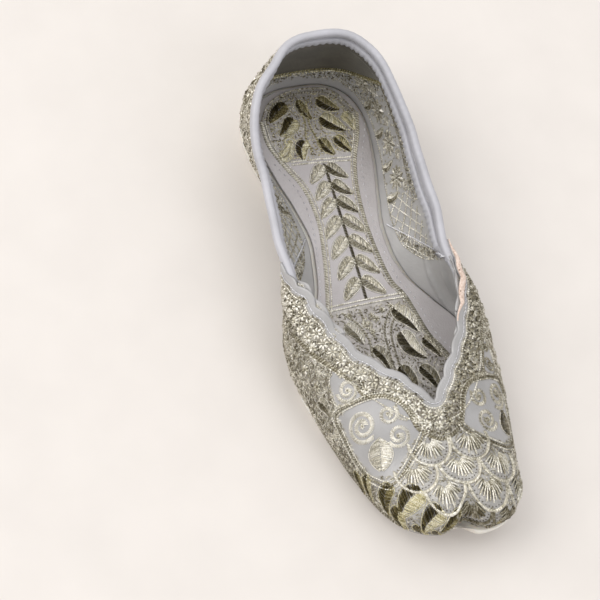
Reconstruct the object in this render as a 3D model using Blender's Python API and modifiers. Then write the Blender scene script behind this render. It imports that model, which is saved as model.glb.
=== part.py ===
"""Embroidered khussa flat, a left shoe: outsole, upper, insole sock and topline binding.

The toe points along -Y, the outer (lateral) side of the foot is +X, and the floor is z = 0.
Stations are shares of the length counted from the toe; sideways columns are shares of the
ball width.  Everything is in metres.
"""
import bpy
import bmesh
import math
import numpy as np

# Driving sizes
LENGTH = 0.250
BALL_WIDTH = 0.097
TOE_HEIGHT = 0.0246
THROAT_HEIGHT = 0.0386
INSTEP_HEIGHT = 0.072
BACK_HEIGHT = 0.0618
SIDE_HEIGHT = 0.0425
WALL = 0.0018
SOLE_THICKNESS = 0.0045
HEEL_THICKNESS = 0.0070
TOE_SPRING = 0.0155
ARCH_RELIEF = 0.0028
RIM = 0.0020
GAP = 0.0003
SOCK_THICKNESS = 0.0020
SOCK_EDGE = 0.0004
SOCK_TOE_EASE = 0.0050
SOCK_CLEFT_SPREAD = 1.15

# The cleft between the two lobes of the toe, and the slant of the toe's front
CLEFT_DEPTH = 0.0060
CLEFT_WIDTH = 0.0062
CLEFT_X = 0.0085
TOE_SLANT = 0.09
TOE_SLANT_REACH = 0.040
# How far the sole is trimmed back under the inner toe, and its share of the cleft
SOLE_TRIM = 0.0042
SOLE_CLEFT = 0.2

# The vamp laps over the quarters at its two ears
EAR_INNER = 0.560
EAR_OUTER = 0.530
LAP_FOOT = 0.435
LAP_STEP = 0.0015
LAP_SPREAD = 1.0
LAP_EDGE = 0.008
LAP_REACH = 0.036
LAP_FADE = 0.300

# Soft roll bound round the topline, running on inside the vamp
ROLL_WIDTH = 0.0036
ROLL_HEIGHT = 0.0046
ROLL_FRONT = 0.425
ROLL_INSIDE = 0.0033
ROLL_POINTS = 10
ROLL_RINGS = 58

# Scalloped edge of the throat
SCALLOP_DEPTH = 0.0015
SCALLOP_PITCH = 0.0125

# Outsole: rounded edge, smooth rim, groove and tread fields
EDGE_ROUND = 0.0012
RIM_BAND = 0.0062
GROOVE_WIDTH = 0.0014
GROOVE_DEPTH = 0.0007
TREAD_END = 0.510
HEEL_BREAST = 0.740
BREAST_SLOPE = 0.004

# Ends of the outline: how long and how square they are rounded
TOE_ROUND = 0.13
TOE_SQUARE = 2.9
HEEL_ROUND = 0.13
HEEL_SQUARE = 2.6
SWELL_RISE = 0.016

# Edge of the sole: station, inner side, outer side
SOLE_OUTLINE = (
    (0.000, -0.243, 0.412),
    (0.050, -0.262, 0.424),
    (0.130, -0.312, 0.450),
    (0.210, -0.380, 0.492),
    (0.290, -0.428, 0.532),
    (0.360, -0.441, 0.545),
    (0.430, -0.402, 0.505),
    (0.490, -0.326, 0.400),
    (0.550, -0.256, 0.300),
    (0.600, -0.230, 0.264),
    (0.645, -0.216, 0.258),
    (0.720, -0.250, 0.290),
    (0.790, -0.300, 0.328),
    (0.870, -0.338, 0.352),
    (0.940, -0.345, 0.345),
    (1.000, -0.340, 0.335),
)

# Underside of the sole above the floor: station, height
SOLE_UNDERSIDE = (
    (0.000, 1.00 * TOE_SPRING),
    (0.060, 0.60 * TOE_SPRING),
    (0.130, 0.25 * TOE_SPRING),
    (0.200, 0.06 * TOE_SPRING),
    (0.270, 0.0),
    (TREAD_END - BREAST_SLOPE, 0.0),
    (TREAD_END + BREAST_SLOPE, 0.8 * ARCH_RELIEF),
    (0.620, ARCH_RELIEF),
    (HEEL_BREAST - BREAST_SLOPE, 0.8 * ARCH_RELIEF),
    (HEEL_BREAST + BREAST_SLOPE, 0.0),
    (1.000, 0.0),
)

# Upper face of the sole above the floor: station, height
SOLE_TOP = (
    (0.000, SOLE_THICKNESS + 1.00 * TOE_SPRING),
    (0.060, SOLE_THICKNESS + 0.60 * TOE_SPRING),
    (0.130, SOLE_THICKNESS + 0.25 * TOE_SPRING),
    (0.200, SOLE_THICKNESS + 0.06 * TOE_SPRING),
    (0.270, SOLE_THICKNESS),
    (0.450, SOLE_THICKNESS),
    (0.620, SOLE_THICKNESS + 0.5 * ARCH_RELIEF),
    (0.760, HEEL_THICKNESS),
    (1.000, HEEL_THICKNESS),
)

# The last above the feather line: station, crest height, squareness of the section,
# swell low on the inner and outer side, flare at topline height on the inner and outer side
LAST_SECTIONS = (
    (0.00, 0.82 * TOE_HEIGHT, 2.50, 0.0018, 0.0020, 0.0000, 0.0000),
    (0.13, 1.12 * TOE_HEIGHT, 2.50, 0.0026, 0.0042, 0.0000, 0.0000),
    (0.25, 1.00 * THROAT_HEIGHT, 2.45, 0.0034, 0.0030, 0.0000, 0.0000),
    (0.36, 0.60 * INSTEP_HEIGHT, 2.45, 0.0058, 0.0018, 0.0070, -0.0025),
    (0.50, 0.75 * INSTEP_HEIGHT, 2.65, 0.0068, 0.0034, 0.0200, 0.0056),
    (0.62, 0.90 * INSTEP_HEIGHT, 2.75, 0.0075, 0.0060, 0.0255, 0.0140),
    (0.76, 1.12 * INSTEP_HEIGHT, 2.75, 0.0050, 0.0045, 0.0170, 0.0060),
    (0.89, 1.30 * INSTEP_HEIGHT, 2.70, 0.0060, 0.0032, 0.0022, -0.0020),
    (0.95, 1.30 * INSTEP_HEIGHT, 2.70, 0.0056, 0.0030, -0.0050, -0.0028),
    (1.00, 1.30 * INSTEP_HEIGHT, 2.70, 0.0030, 0.0030, 0.0000, 0.0000),
)

# Topline above the floor: station, height
TOPLINE = (
    (0.36, 0.0360),
    (0.42, SIDE_HEIGHT - 0.0035),
    (0.47, SIDE_HEIGHT - 0.0010),
    (0.54, SIDE_HEIGHT),
    (0.66, SIDE_HEIGHT + 0.0010),
    (0.80, SIDE_HEIGHT + 0.40 * (BACK_HEIGHT - SIDE_HEIGHT)),
    (0.92, SIDE_HEIGHT + 0.82 * (BACK_HEIGHT - SIDE_HEIGHT)),
    (1.00, BACK_HEIGHT),
)

# The throat: station, and how far out from the crest (0) towards the feather line (1) its
# inner and outer edges lie
THROAT = (
    (0.2393, 0.000, 0.000),
    (0.2500, 0.068, 0.064),
    (0.2740, 0.155, 0.150),
    (0.3000, 0.265, 0.250),
    (0.3250, 0.392, 0.350),
    (0.3650, 0.512, 0.475),
    (0.4000, 0.570, 0.545),
    (0.4350, 0.626, 0.620),
    (0.4700, 0.685, 0.710),
    (0.5000, 0.757, 0.800),
    (0.5300, 0.850, 0.865),
    (0.5600, 0.887, 0.890),
)

# Sections of the upper: station at the feather line, station of the same section at the opening
SECTION_PLANES = (
    (0.00, 0.2393),
    (0.06, 0.2500),
    (0.14, 0.2710),
    (0.22, 0.3010),
    (0.31, 0.3460),
    (0.40, 0.4080),
    (0.48, 0.4790),
    (0.56, 0.5570),
    (0.70, 0.7000),
    (1.00, 1.0000),
)

# Where each section across the heel aims: station at the feather line, station aimed at
SECTION_AIM = (
    (0.00, 0.00),
    (0.70, 0.70),
    (0.80, 0.78),
    (0.90, 0.82),
    (1.00, 0.83),
)

UPPER_COLUMNS = 70
UPPER_ROWS = 11
TOE_DETAIL = 0.030
SOLE_COLUMNS = 44
SOLE_LADDER = 5
SOCK_LADDER = 3


def rows(table, column, station):
    """Smooth value of one column of a section table, without overshoot between its rows."""
    x = np.array([row[0] for row in table])
    y = np.array([row[column] for row in table])
    step = np.diff(x)
    rise = np.diff(y) / step
    slope = np.zeros(len(x))
    slope[0] = rise[0]
    slope[-1] = rise[-1]
    for k in range(1, len(x) - 1):
        if rise[k - 1] * rise[k] > 0:
            before = 2 * step[k] + step[k - 1]
            after = step[k] + 2 * step[k - 1]
            slope[k] = (before + after) / (before / rise[k - 1] + after / rise[k])
    s = np.clip(station, x[0], x[-1])
    k = np.clip(np.searchsorted(x, s, side="right") - 1, 0, len(x) - 2)
    t = (s - x[k]) / step[k]
    left = (1 + 2 * t) * (1 - t) ** 2 * y[k] + t * (1 - t) ** 2 * step[k] * slope[k]
    right = t * t * (3 - 2 * t) * y[k + 1] + t * t * (t - 1) * step[k] * slope[k + 1]
    return left + right


def ease(low, high, value):
    """0 below low, 1 above high, smooth between."""
    t = np.clip((value - low) / (high - low), 0.0, 1.0)
    return t * t * (3 - 2 * t)


def toe_share(station):
    """1 at the toe tip, 0 where the toe's rounding starts."""
    return np.clip((TOE_ROUND - station) / TOE_ROUND, 0.0, 1.0)


def heel_share(station):
    """1 at the heel tip, 0 where the heel's rounding starts."""
    return np.clip((station - 1 + HEEL_ROUND) / HEEL_ROUND, 0.0, 1.0)


def end_round(station):
    """How full the outline is: 1 along the shoe, falling to 0 at the toe and heel tips."""
    front = np.maximum(1 - toe_share(station) ** TOE_SQUARE, 0.0) ** (1 / TOE_SQUARE)
    back = np.maximum(1 - heel_share(station) ** HEEL_SQUARE, 0.0) ** (1 / HEEL_SQUARE)
    return front * back


def centre(station):
    """Sideways place of the shoe's curved middle line."""
    inner = rows(SOLE_OUTLINE, 1, station)
    outer = rows(SOLE_OUTLINE, 2, station)
    return 0.5 * (inner + outer) * BALL_WIDTH


def half_width(station):
    """Half width of the sole before its ends are rounded."""
    inner = rows(SOLE_OUTLINE, 1, station)
    outer = rows(SOLE_OUTLINE, 2, station)
    return 0.5 * (outer - inner) * BALL_WIDTH


def cleft(x, y, spread=1.0, depth=1.0):
    """Slant the toe's front and push it back between its two lobes."""
    ahead = np.exp(-((y + 0.5 * LENGTH) / TOE_SLANT_REACH) ** 2)
    side = np.exp(-((x - CLEFT_X) / (spread * CLEFT_WIDTH)) ** 2)
    near = np.exp(-((y + 0.5 * LENGTH) / (2.6 * CLEFT_DEPTH)) ** 2)
    return y + depth * CLEFT_DEPTH * side * near - TOE_SLANT * (x - CLEFT_X) * ahead


def plan_point(station, share, inset):
    """A point of the plan: share -1 at the inner edge, +1 at the outer, all drawn in by inset."""
    x = centre(station) + share * (half_width(station) - inset) * end_round(station)
    y = (station - 0.5) * LENGTH
    y = y + inset * (toe_share(station) ** 2 - heel_share(station) ** 2)
    return x, y


def plan_place(x, y):
    """Station and share of a place in the upper's plan."""
    station = np.clip(y / LENGTH + 0.5, 0.0, 1.0)
    for _ in range(4):
        pull = RIM * (toe_share(station) ** 2 - heel_share(station) ** 2)
        station = np.clip((y - pull) / LENGTH + 0.5, 0.0, 1.0)
    width = (half_width(station) - RIM) * end_round(station)
    share = np.clip((x - centre(station)) / np.maximum(width, 1e-7), -1.0, 1.0)
    return station, share


def height_at(table, y):
    """Height of the sole's upper face or underside at a world y."""
    return rows(table, 1, y / LENGTH + 0.5)


def lap_of(station, lift, ear):
    """How far the vamp stands out over the quarters just ahead of its back edge."""
    back_edge = LAP_FOOT + (ear + LAP_REACH - LAP_FOOT) * lift / SIDE_HEIGHT
    covered = 1 - ease(back_edge, back_edge + LAP_EDGE, station)
    step = LAP_STEP * (1 + LAP_SPREAD * np.clip(lift / SIDE_HEIGHT, 0.0, 1.0))
    return step * covered * ease(LAP_FADE, LAP_FADE + 0.12, station)


def last_point(station, share, lap=1.0):
    """A point on the outside of the last: share -1 at the inner feather line, 0 at the crest,
    +1 at the outer feather line.  lap is 0 for the quarters' own surface under the vamp."""
    square = rows(LAST_SECTIONS, 2, station)
    edge = np.clip(np.abs(share), 0.0, 1.0)
    lift = rows(LAST_SECTIONS, 1, station) * end_round(station)
    lift = lift * np.maximum(1 - edge ** square, 0.0) ** (1 / square)
    swell = np.where(share < 0, rows(LAST_SECTIONS, 3, station), rows(LAST_SECTIONS, 4, station))
    flare = np.where(share < 0, rows(LAST_SECTIONS, 5, station), rows(LAST_SECTIONS, 6, station))
    out = swell * np.sin(0.5 * math.pi * np.clip(lift / SWELL_RISE, 0.0, 1.0))
    ear = np.where(share < 0, EAR_INNER, EAR_OUTER)
    out = out + flare * lift / SIDE_HEIGHT + lap * lap_of(station, lift, ear)
    x, y = plan_point(station, share, RIM)
    x = x + share * out
    y = cleft(x, y + out * (heel_share(station) ** 2 - toe_share(station) ** 2))
    z = height_at(SOLE_TOP, y) + GAP + lift
    return np.stack([x, y, z], axis=-1)


def along(line):
    """Length measured along a line of points."""
    return np.concatenate([[0.0], np.cumsum(np.linalg.norm(np.diff(line, axis=0), axis=1))])


def resample(line, measure, count):
    """Count points spread evenly in a given measure along a line."""
    wanted = np.linspace(0.0, measure[-1], count)
    return np.stack([np.interp(wanted, measure, line[:, k]) for k in range(line.shape[1])], axis=1)


def side_stations(side, inset, count, stops=()):
    """Stations from toe tip to heel tip, even along the edge, closer at the toe, through stops."""
    station = 0.5 - 0.5 * np.cos(np.linspace(0.0, math.pi, 2400))
    x, y = plan_point(station, side, inset)
    measure = along(np.stack([x, y], axis=1))
    measure = measure + 0.05 * ease(0.0, 0.035, measure)
    even = resample(station[:, None], measure, count)[:, 0]
    for stop in stops:
        even[np.argmin(np.abs(even - stop))] = stop
    return even


def scallop(measure):
    """Lobes along the cut edge of the throat, measured from its apex."""
    return SCALLOP_DEPTH * np.abs(np.sin(math.pi * measure / SCALLOP_PITCH))


def section_reaches(side, foot, height):
    """Station and share where each section of the quarters climbs to a height above the floor."""
    aim = rows(SECTION_AIM, 1, foot)
    step = np.linspace(0.0, 1.0, 900)[None, :]
    x0, y0 = plan_point(foot, side, RIM)
    x = x0[:, None] * (1 - step) + centre(aim)[:, None] * step
    y = y0[:, None] * (1 - step) + ((aim - 0.5) * LENGTH)[:, None] * step
    station, share = plan_place(x, y)
    z = last_point(station, share)[..., 2]
    first = np.maximum(np.argmax(z >= height[:, None], axis=1), 1)
    pick = np.arange(len(foot))
    before = z[pick, first - 1]
    part = np.clip((height - before) / np.maximum(z[pick, first] - before, 1e-9), 0.0, 1.0)
    end_station = station[pick, first - 1] * (1 - part) + station[pick, first] * part
    end_share = share[pick, first - 1] * (1 - part) + share[pick, first] * part
    return end_station, end_share


def opening_edge(side, foot):
    """Station and share where each section of the upper ends at the throat or the topline."""
    station = rows(SECTION_PLANES, 1, foot)
    ear = EAR_INNER if side < 0 else EAR_OUTER
    throat = rows(THROAT, 1 if side < 0 else 2, station)
    width = np.maximum((half_width(station) - RIM) * end_round(station), 1e-6)
    run = along(np.stack([throat * width, station * LENGTH], axis=1))
    cut = scallop(run) * ease(0.0, 0.08, throat) * (1 - ease(ear - 0.060, ear - 0.030, station))
    throat = np.maximum(throat - cut / width, 0.0)
    height = rows(TOPLINE, 1, station) - (ROLL_HEIGHT + GAP) * ease(ear, ear + 0.014, station)
    end_station, end_share = section_reaches(side, foot, height)
    turn = ease(ear - 0.016, ear + 0.002, station)
    end_station = station * (1 - turn) + end_station * turn
    end_share = side * throat * (1 - turn) + end_share * turn
    return end_station, end_share


def upper_side(side):
    """Columns of points on one side of the upper, from the feather line up to the opening."""
    foot = side_stations(side, RIM, 900)
    end_station, end_share = opening_edge(side, foot)
    low = last_point(foot, np.full(len(foot), float(side)))
    high = last_point(end_station, end_share)
    measure = 0.45 * along(low) + along(high) + TOE_DETAIL * ease(0.0, 0.034, along(low))
    keep = resample(np.stack([foot, end_station, end_share], axis=1), measure, UPPER_COLUMNS)
    x0, y0 = plan_point(keep[:, 0], side, RIM)
    x1, y1 = plan_point(keep[:, 1], keep[:, 2], RIM)
    step = 1 - np.cos(np.linspace(0.0, 0.5 * math.pi, 400))
    columns = []
    for k in range(UPPER_COLUMNS):
        x = x0[k] * (1 - step) + x1[k] * step
        y = y0[k] * (1 - step) + y1[k] * step
        station, share = plan_place(x, y)
        share[0] = side
        line = last_point(station, share)
        columns.append(resample(line, along(line), UPPER_ROWS))
    return columns


# ---- solids ----


def mesh_object(name, points, faces, material, smooth=True):
    """A named mesh object in the shoe's collection, its faces turned outward."""
    mesh = bpy.data.meshes.new(name)
    mesh.from_pydata([tuple(float(c) for c in p) for p in points], [], faces)
    shell = bmesh.new()
    shell.from_mesh(mesh)
    bmesh.ops.recalc_face_normals(shell, faces=shell.faces)
    shell.to_mesh(mesh)
    shell.free()
    for face in mesh.polygons:
        face.use_smooth = smooth
    mesh.materials.append(material)
    thing = bpy.data.objects.new(name, mesh)
    shoe.objects.link(thing)
    return thing


def plain_material(name, colour, roughness, metallic=0.0):
    """A plain shader material for one sub-part."""
    material = bpy.data.materials.new(name)
    material.use_nodes = True
    shader = material.node_tree.nodes["Principled BSDF"]
    shader.inputs["Base Color"].default_value = (*colour, 1.0)
    shader.inputs["Roughness"].default_value = roughness
    shader.inputs["Metallic"].default_value = metallic
    return material


def edge_ring(stations, inset, height, toe_ease=0.0, spread=1.0, trim=0.0, depth=1.0):
    """A closed ring of plan points: outer side toe to heel, then inner side heel to toe.

    trim draws the inner edge in further round the front of the foot.
    """
    between = stations[1:-1]
    beside = plan_point(stations, 1.0, inset)[0] - CLEFT_X
    drawn_out = inset + trim * (1 - ease(0.0, 0.007, beside)) * (stations < 0.1)
    drawn_in = inset + trim * (1 - ease(0.24, 0.36, between))
    outer = np.stack(plan_point(stations, 1.0, drawn_out), axis=1)
    inner = np.stack(plan_point(between, -1.0, drawn_in), axis=1)[::-1]
    ring = np.concatenate([outer, inner])
    back = toe_ease * np.exp(-((ring[:, 1] + 0.5 * LENGTH) / (2 * CLEFT_DEPTH)) ** 2)
    y = cleft(ring[:, 0], ring[:, 1] + back, spread, depth)
    return np.stack([ring[:, 0], y, height(y)], axis=1)


def slab(rings, ladder, height_low, height_high):
    """A solid from rings running from its upper face round the edge to its underside.

    Both faces are closed with straight rungs across, from one side of the shoe to the other.
    """
    count = len(rings[0])
    half = count // 2
    points = np.concatenate(rings).tolist()
    faces = []
    for r in range(len(rings) - 1):
        for k in range(count):
            n = (k + 1) % count
            faces.append((r * count + k, r * count + n, (r + 1) * count + n, (r + 1) * count + k))
    for base, height in ((0, height_high), ((len(rings) - 1) * count, height_low)):
        rungs = [[base]]
        for k in range(1, half):
            right = base + k
            left = base + count - k
            rung = [right]
            for step in range(1, ladder):
                share = step / ladder
                x = points[right][0] * (1 - share) + points[left][0] * share
                y = points[right][1] * (1 - share) + points[left][1] * share
                rung.append(len(points))
                points.append([x, y, float(height(np.array(y)))])
            rung.append(left)
            rungs.append(rung)
        rungs.append([base + half])
        for a, b in zip(rungs, rungs[1:]):
            if len(a) == 1:
                faces.extend((a[0], b[k], b[k + 1]) for k in range(ladder))
            elif len(b) == 1:
                faces.extend((b[0], a[k + 1], a[k]) for k in range(ladder))
            else:
                faces.extend((a[k], b[k], b[k + 1], a[k + 1]) for k in range(ladder))
    return points, faces


def sole_top(y):
    """Upper face of the sole."""
    return height_at(SOLE_TOP, y)


def sole_under(y):
    """Underside of the sole."""
    return height_at(SOLE_UNDERSIDE, y)


def groove(y):
    """The groove that frames the tread fields, absent under the arch."""
    station = y / LENGTH + 0.5
    front = 1 - ease(TREAD_END - 0.02, TREAD_END - 0.01, station)
    back = ease(HEEL_BREAST + 0.01, HEEL_BREAST + 0.02, station)
    return sole_under(y) + GROOVE_DEPTH * np.maximum(front, back)


def sole_ring(stations, inset, height):
    """A ring round the sole, which is trimmed back under the inner toe and hardly cleft."""
    return edge_ring(stations, inset, height, trim=SOLE_TRIM, depth=SOLE_CLEFT)


def build_outsole():
    """Moulded sole: rounded edge, smooth rim, framing groove, raised arch and flat heel."""
    stops = (TREAD_END - BREAST_SLOPE, TREAD_END + BREAST_SLOPE,
             HEEL_BREAST - BREAST_SLOPE, HEEL_BREAST + BREAST_SLOPE)
    stations = side_stations(1.0, 0.0, SOLE_COLUMNS, stops)
    rings = []
    for turn in np.radians((90.0, 45.0, 0.0)):
        inset = EDGE_ROUND * (1 - math.cos(turn))
        drop = EDGE_ROUND * (1 - math.sin(turn))
        rings.append(sole_ring(stations, inset, lambda y, d=drop: sole_top(y) - d))
    for turn in np.radians((0.0, 45.0, 90.0)):
        inset = EDGE_ROUND * (1 - math.cos(turn))
        drop = EDGE_ROUND * (1 - math.sin(turn))
        rings.append(sole_ring(stations, inset, lambda y, d=drop: sole_under(y) + d))
    rings.append(sole_ring(stations, RIM_BAND, sole_under))
    rings.append(sole_ring(stations, RIM_BAND + 0.3 * GROOVE_WIDTH, groove))
    rings.append(sole_ring(stations, RIM_BAND + 0.7 * GROOVE_WIDTH, groove))
    rings.append(sole_ring(stations, RIM_BAND + GROOVE_WIDTH, sole_under))
    points, faces = slab(rings, SOLE_LADDER, sole_under, sole_top)
    return mesh_object("outsole", points, faces, plain_material("sole_rubber", (0.74, 0.71, 0.65), 0.45))


def build_insole():
    """Sock glued on the sole inside the upper."""
    stations = side_stations(1.0, 0.0, SOLE_COLUMNS)
    inset = RIM + WALL + 3 * GAP
    rings = []
    for draw_in, height in ((SOCK_EDGE, SOCK_THICKNESS), (0.0, SOCK_THICKNESS - SOCK_EDGE),
                            (0.0, SOCK_EDGE), (SOCK_EDGE, 0.0)):
        rings.append(edge_ring(stations, inset + draw_in,
                               lambda y, h=height: sole_top(y) + GAP + h,
                               SOCK_TOE_EASE, SOCK_CLEFT_SPREAD))
    points, faces = slab(rings, SOCK_LADDER, lambda y: sole_top(y) + GAP,
                         lambda y: sole_top(y) + GAP + SOCK_THICKNESS)
    return mesh_object("insole", points, faces, plain_material("sock_leather", (0.36, 0.34, 0.35), 0.5))


def build_upper():
    """Vamp and quarters as one hollow leather shell, open at the top and underneath."""
    outer = upper_side(1.0)
    inner = upper_side(-1.0)
    columns = outer + inner[1:-1][::-1]
    points = np.concatenate(columns)
    count = len(columns)
    faces = []
    for k in range(count):
        n = (k + 1) % count
        for r in range(UPPER_ROWS - 1):
            faces.append((k * UPPER_ROWS + r, n * UPPER_ROWS + r,
                          n * UPPER_ROWS + r + 1, k * UPPER_ROWS + r + 1))
    upper = mesh_object("upper", points, faces, plain_material("upper_leather", (0.40, 0.39, 0.36), 0.45))
    wall = upper.modifiers.new("wall", "SOLIDIFY")
    wall.thickness = WALL
    wall.offset = -1.0
    wall.use_even_offset = True
    wall.use_rim = True
    return upper


def roll_path(side):
    """Centre line of the topline roll on one side, with the wall's outward and upward directions."""
    foot = side_stations(side, RIM, 500)
    foot = foot[foot > ROLL_FRONT]
    station = rows(SECTION_PLANES, 1, foot)
    edge = rows(TOPLINE, 1, station) - ROLL_HEIGHT - GAP
    low_station, low_share = section_reaches(side, foot, edge)
    high_station, high_share = section_reaches(side, foot, edge + ROLL_HEIGHT)
    low = last_point(low_station, low_share, 0.0)
    climb = last_point(high_station, high_share, 0.0) - low
    climb = climb / np.linalg.norm(climb, axis=1)[:, None]
    run = np.gradient(low, axis=0)
    outward = np.cross(run, climb) * side
    outward = outward / np.linalg.norm(outward, axis=1)[:, None]
    climb = np.cross(outward, run) * side
    climb = climb / np.linalg.norm(climb, axis=1)[:, None]
    ear = EAR_INNER if side < 0 else EAR_OUTER
    under = 1 - ease(ear + 0.040, ear + 0.085, low_station)
    inside = 0.5 * WALL + (ROLL_INSIDE - 0.5 * WALL) * under
    middle = low + climb * (GAP + 0.5 * ROLL_HEIGHT) - outward * inside[:, None]
    return np.concatenate([middle, outward, climb], axis=1)


def build_binding():
    """Soft leather roll sewn round the topline; its two ends run on inside the vamp."""
    outer = roll_path(1.0)
    inner = roll_path(-1.0)
    path = np.concatenate([outer[:-1], inner[::-1]])
    path = resample(path, along(path[:, :3]), ROLL_RINGS)
    turn = np.linspace(0.0, 2 * math.pi, ROLL_POINTS, endpoint=False)
    across = 0.5 * ROLL_WIDTH * np.sign(np.cos(turn)) * np.abs(np.cos(turn)) ** 0.8
    above = 0.5 * ROLL_HEIGHT * np.sign(np.sin(turn)) * np.abs(np.sin(turn)) ** 0.8
    points = []
    for place in path:
        for a, b in zip(across, above):
            points.append(place[:3] + place[3:6] * a + place[6:9] * b)
    faces = []
    for r in range(ROLL_RINGS - 1):
        for k in range(ROLL_POINTS):
            n = (k + 1) % ROLL_POINTS
            a = r * ROLL_POINTS
            b = a + ROLL_POINTS
            faces.append((a + k, a + n, b + n, b + k))
    last = (ROLL_RINGS - 1) * ROLL_POINTS
    faces.append(tuple(range(ROLL_POINTS)))
    faces.append(tuple(last + k for k in reversed(range(ROLL_POINTS))))
    return mesh_object("topline_binding", points, faces, plain_material("binding_leather", (0.50, 0.50, 0.54), 0.35))


for old in list(bpy.data.objects):
    bpy.data.objects.remove(old)
shoe = bpy.data.collections.new("embroidered_khussa_flat")
bpy.context.scene.collection.children.link(shoe)
build_outsole()
build_upper()
build_insole()
build_binding()

# Bring the middle of the shoe's box over the origin
bpy.context.view_layer.update()
depsgraph = bpy.context.evaluated_depsgraph_get()
corners = [piece.matrix_world @ vertex.co for piece in shoe.objects
           for vertex in piece.evaluated_get(depsgraph).data.vertices]
middle_x = 0.5 * (min(c.x for c in corners) + max(c.x for c in corners))
middle_y = 0.5 * (min(c.y for c in corners) + max(c.y for c in corners))
for piece in shoe.objects:
    for vertex in piece.data.vertices:
        vertex.co.x -= middle_x
        vertex.co.y -= middle_y
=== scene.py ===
"""Looks of the embroidered khussa flat, a left shoe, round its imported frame.

Every sheet follows the same last as the solids of the frame.  The vamp, the wall of the
quarters and the sock are each laid out flat on a chart.  The embroidery is drawn on the
charts in millimetres and sewn down as separate stitches of metal-wrapped thread.
"""
import math
import bpy
import bmesh
import numpy as np
from mathutils import Matrix, Vector


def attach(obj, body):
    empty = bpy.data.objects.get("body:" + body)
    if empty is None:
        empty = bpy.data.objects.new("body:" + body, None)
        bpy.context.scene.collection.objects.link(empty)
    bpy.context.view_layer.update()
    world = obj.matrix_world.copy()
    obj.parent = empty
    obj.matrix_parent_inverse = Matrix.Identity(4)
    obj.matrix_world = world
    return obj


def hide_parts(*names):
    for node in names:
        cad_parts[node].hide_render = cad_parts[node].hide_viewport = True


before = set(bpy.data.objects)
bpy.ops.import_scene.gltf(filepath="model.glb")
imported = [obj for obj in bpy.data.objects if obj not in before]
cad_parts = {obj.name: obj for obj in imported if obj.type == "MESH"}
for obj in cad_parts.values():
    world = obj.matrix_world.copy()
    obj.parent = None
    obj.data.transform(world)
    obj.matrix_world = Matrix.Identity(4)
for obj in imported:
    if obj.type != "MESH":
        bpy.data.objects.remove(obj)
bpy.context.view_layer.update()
chance = np.random.default_rng(11)

# Driving sizes
LENGTH = 0.250
BALL_WIDTH = 0.097
TOE_HEIGHT = 0.0246
THROAT_HEIGHT = 0.0386
INSTEP_HEIGHT = 0.072
BACK_HEIGHT = 0.0618
SIDE_HEIGHT = 0.0425
WALL = 0.0018
SOLE_THICKNESS = 0.0045
HEEL_THICKNESS = 0.0070
TOE_SPRING = 0.0155
ARCH_RELIEF = 0.0028
RIM = 0.0020
GAP = 0.0003
SOCK_THICKNESS = 0.0020
SOCK_EDGE = 0.0004
SOCK_TOE_EASE = 0.0050
SOCK_CLEFT_SPREAD = 1.15

# The cleft between the two lobes of the toe, and the slant of the toe's front
CLEFT_DEPTH = 0.0060
CLEFT_WIDTH = 0.0062
CLEFT_X = 0.0085
TOE_SLANT = 0.09
TOE_SLANT_REACH = 0.040
# How far the sole is trimmed back under the inner toe, and its share of the cleft
SOLE_TRIM = 0.0042
SOLE_CLEFT = 0.2

# The vamp laps over the quarters at its two ears
EAR_INNER = 0.560
EAR_OUTER = 0.530
LAP_FOOT = 0.435
LAP_STEP = 0.0015
LAP_SPREAD = 1.0
LAP_FADE = 0.300

# Soft roll bound round the topline, running on inside the vamp
ROLL_HEIGHT = 0.0046
ROLL_FRONT = 0.425

# Scalloped edge of the throat
SCALLOP_DEPTH = 0.0015
SCALLOP_PITCH = 0.0125

# Outsole: rounded edge, smooth rim, groove and tread fields
EDGE_ROUND = 0.0012
RIM_BAND = 0.0062
GROOVE_WIDTH = 0.0014
GROOVE_DEPTH = 0.0007
TREAD_END = 0.510
HEEL_BREAST = 0.740
BREAST_SLOPE = 0.004

# Ends of the outline: how long and how square they are rounded
TOE_ROUND = 0.13
TOE_SQUARE = 2.9
HEEL_ROUND = 0.13
HEEL_SQUARE = 2.6
SWELL_RISE = 0.016

# Edge of the sole: station, inner side, outer side
SOLE_OUTLINE = (
    (0.000, -0.243, 0.412), (0.05, -0.262, 0.424), (0.13, -0.312, 0.45), (0.21, -0.38, 0.492),
    (0.29, -0.428, 0.532), (0.36, -0.441, 0.545), (0.43, -0.402, 0.505), (0.49, -0.326, 0.4),
    (0.55, -0.256, 0.3), (0.6, -0.23, 0.264), (0.645, -0.216, 0.258), (0.72, -0.25, 0.29),
    (0.79, -0.3, 0.328), (0.87, -0.338, 0.352), (0.94, -0.345, 0.345), (1.000, -0.34, 0.335))

# Underside of the sole above the floor: station, height
SOLE_UNDERSIDE = (
    (0.000, 1.00 * TOE_SPRING), (0.06, 0.60 * TOE_SPRING), (0.13, 0.25 * TOE_SPRING),
    (0.2, 0.06 * TOE_SPRING), (0.27, 0.0), (TREAD_END - BREAST_SLOPE, 0.0),
    (TREAD_END + BREAST_SLOPE, 0.8 * ARCH_RELIEF), (0.62, ARCH_RELIEF),
    (HEEL_BREAST - BREAST_SLOPE, 0.8 * ARCH_RELIEF), (HEEL_BREAST + BREAST_SLOPE, 0.0), (1.000, 0.0))

# Upper face of the sole above the floor: station, height
SOLE_TOP = (
    (0.000, SOLE_THICKNESS + 1.00 * TOE_SPRING), (0.06, SOLE_THICKNESS + 0.60 * TOE_SPRING),
    (0.13, SOLE_THICKNESS + 0.25 * TOE_SPRING), (0.2, SOLE_THICKNESS + 0.06 * TOE_SPRING),
    (0.27, SOLE_THICKNESS), (0.45, SOLE_THICKNESS), (0.62, SOLE_THICKNESS + 0.5 * ARCH_RELIEF),
    (0.76, HEEL_THICKNESS), (1.000, HEEL_THICKNESS))

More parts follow.
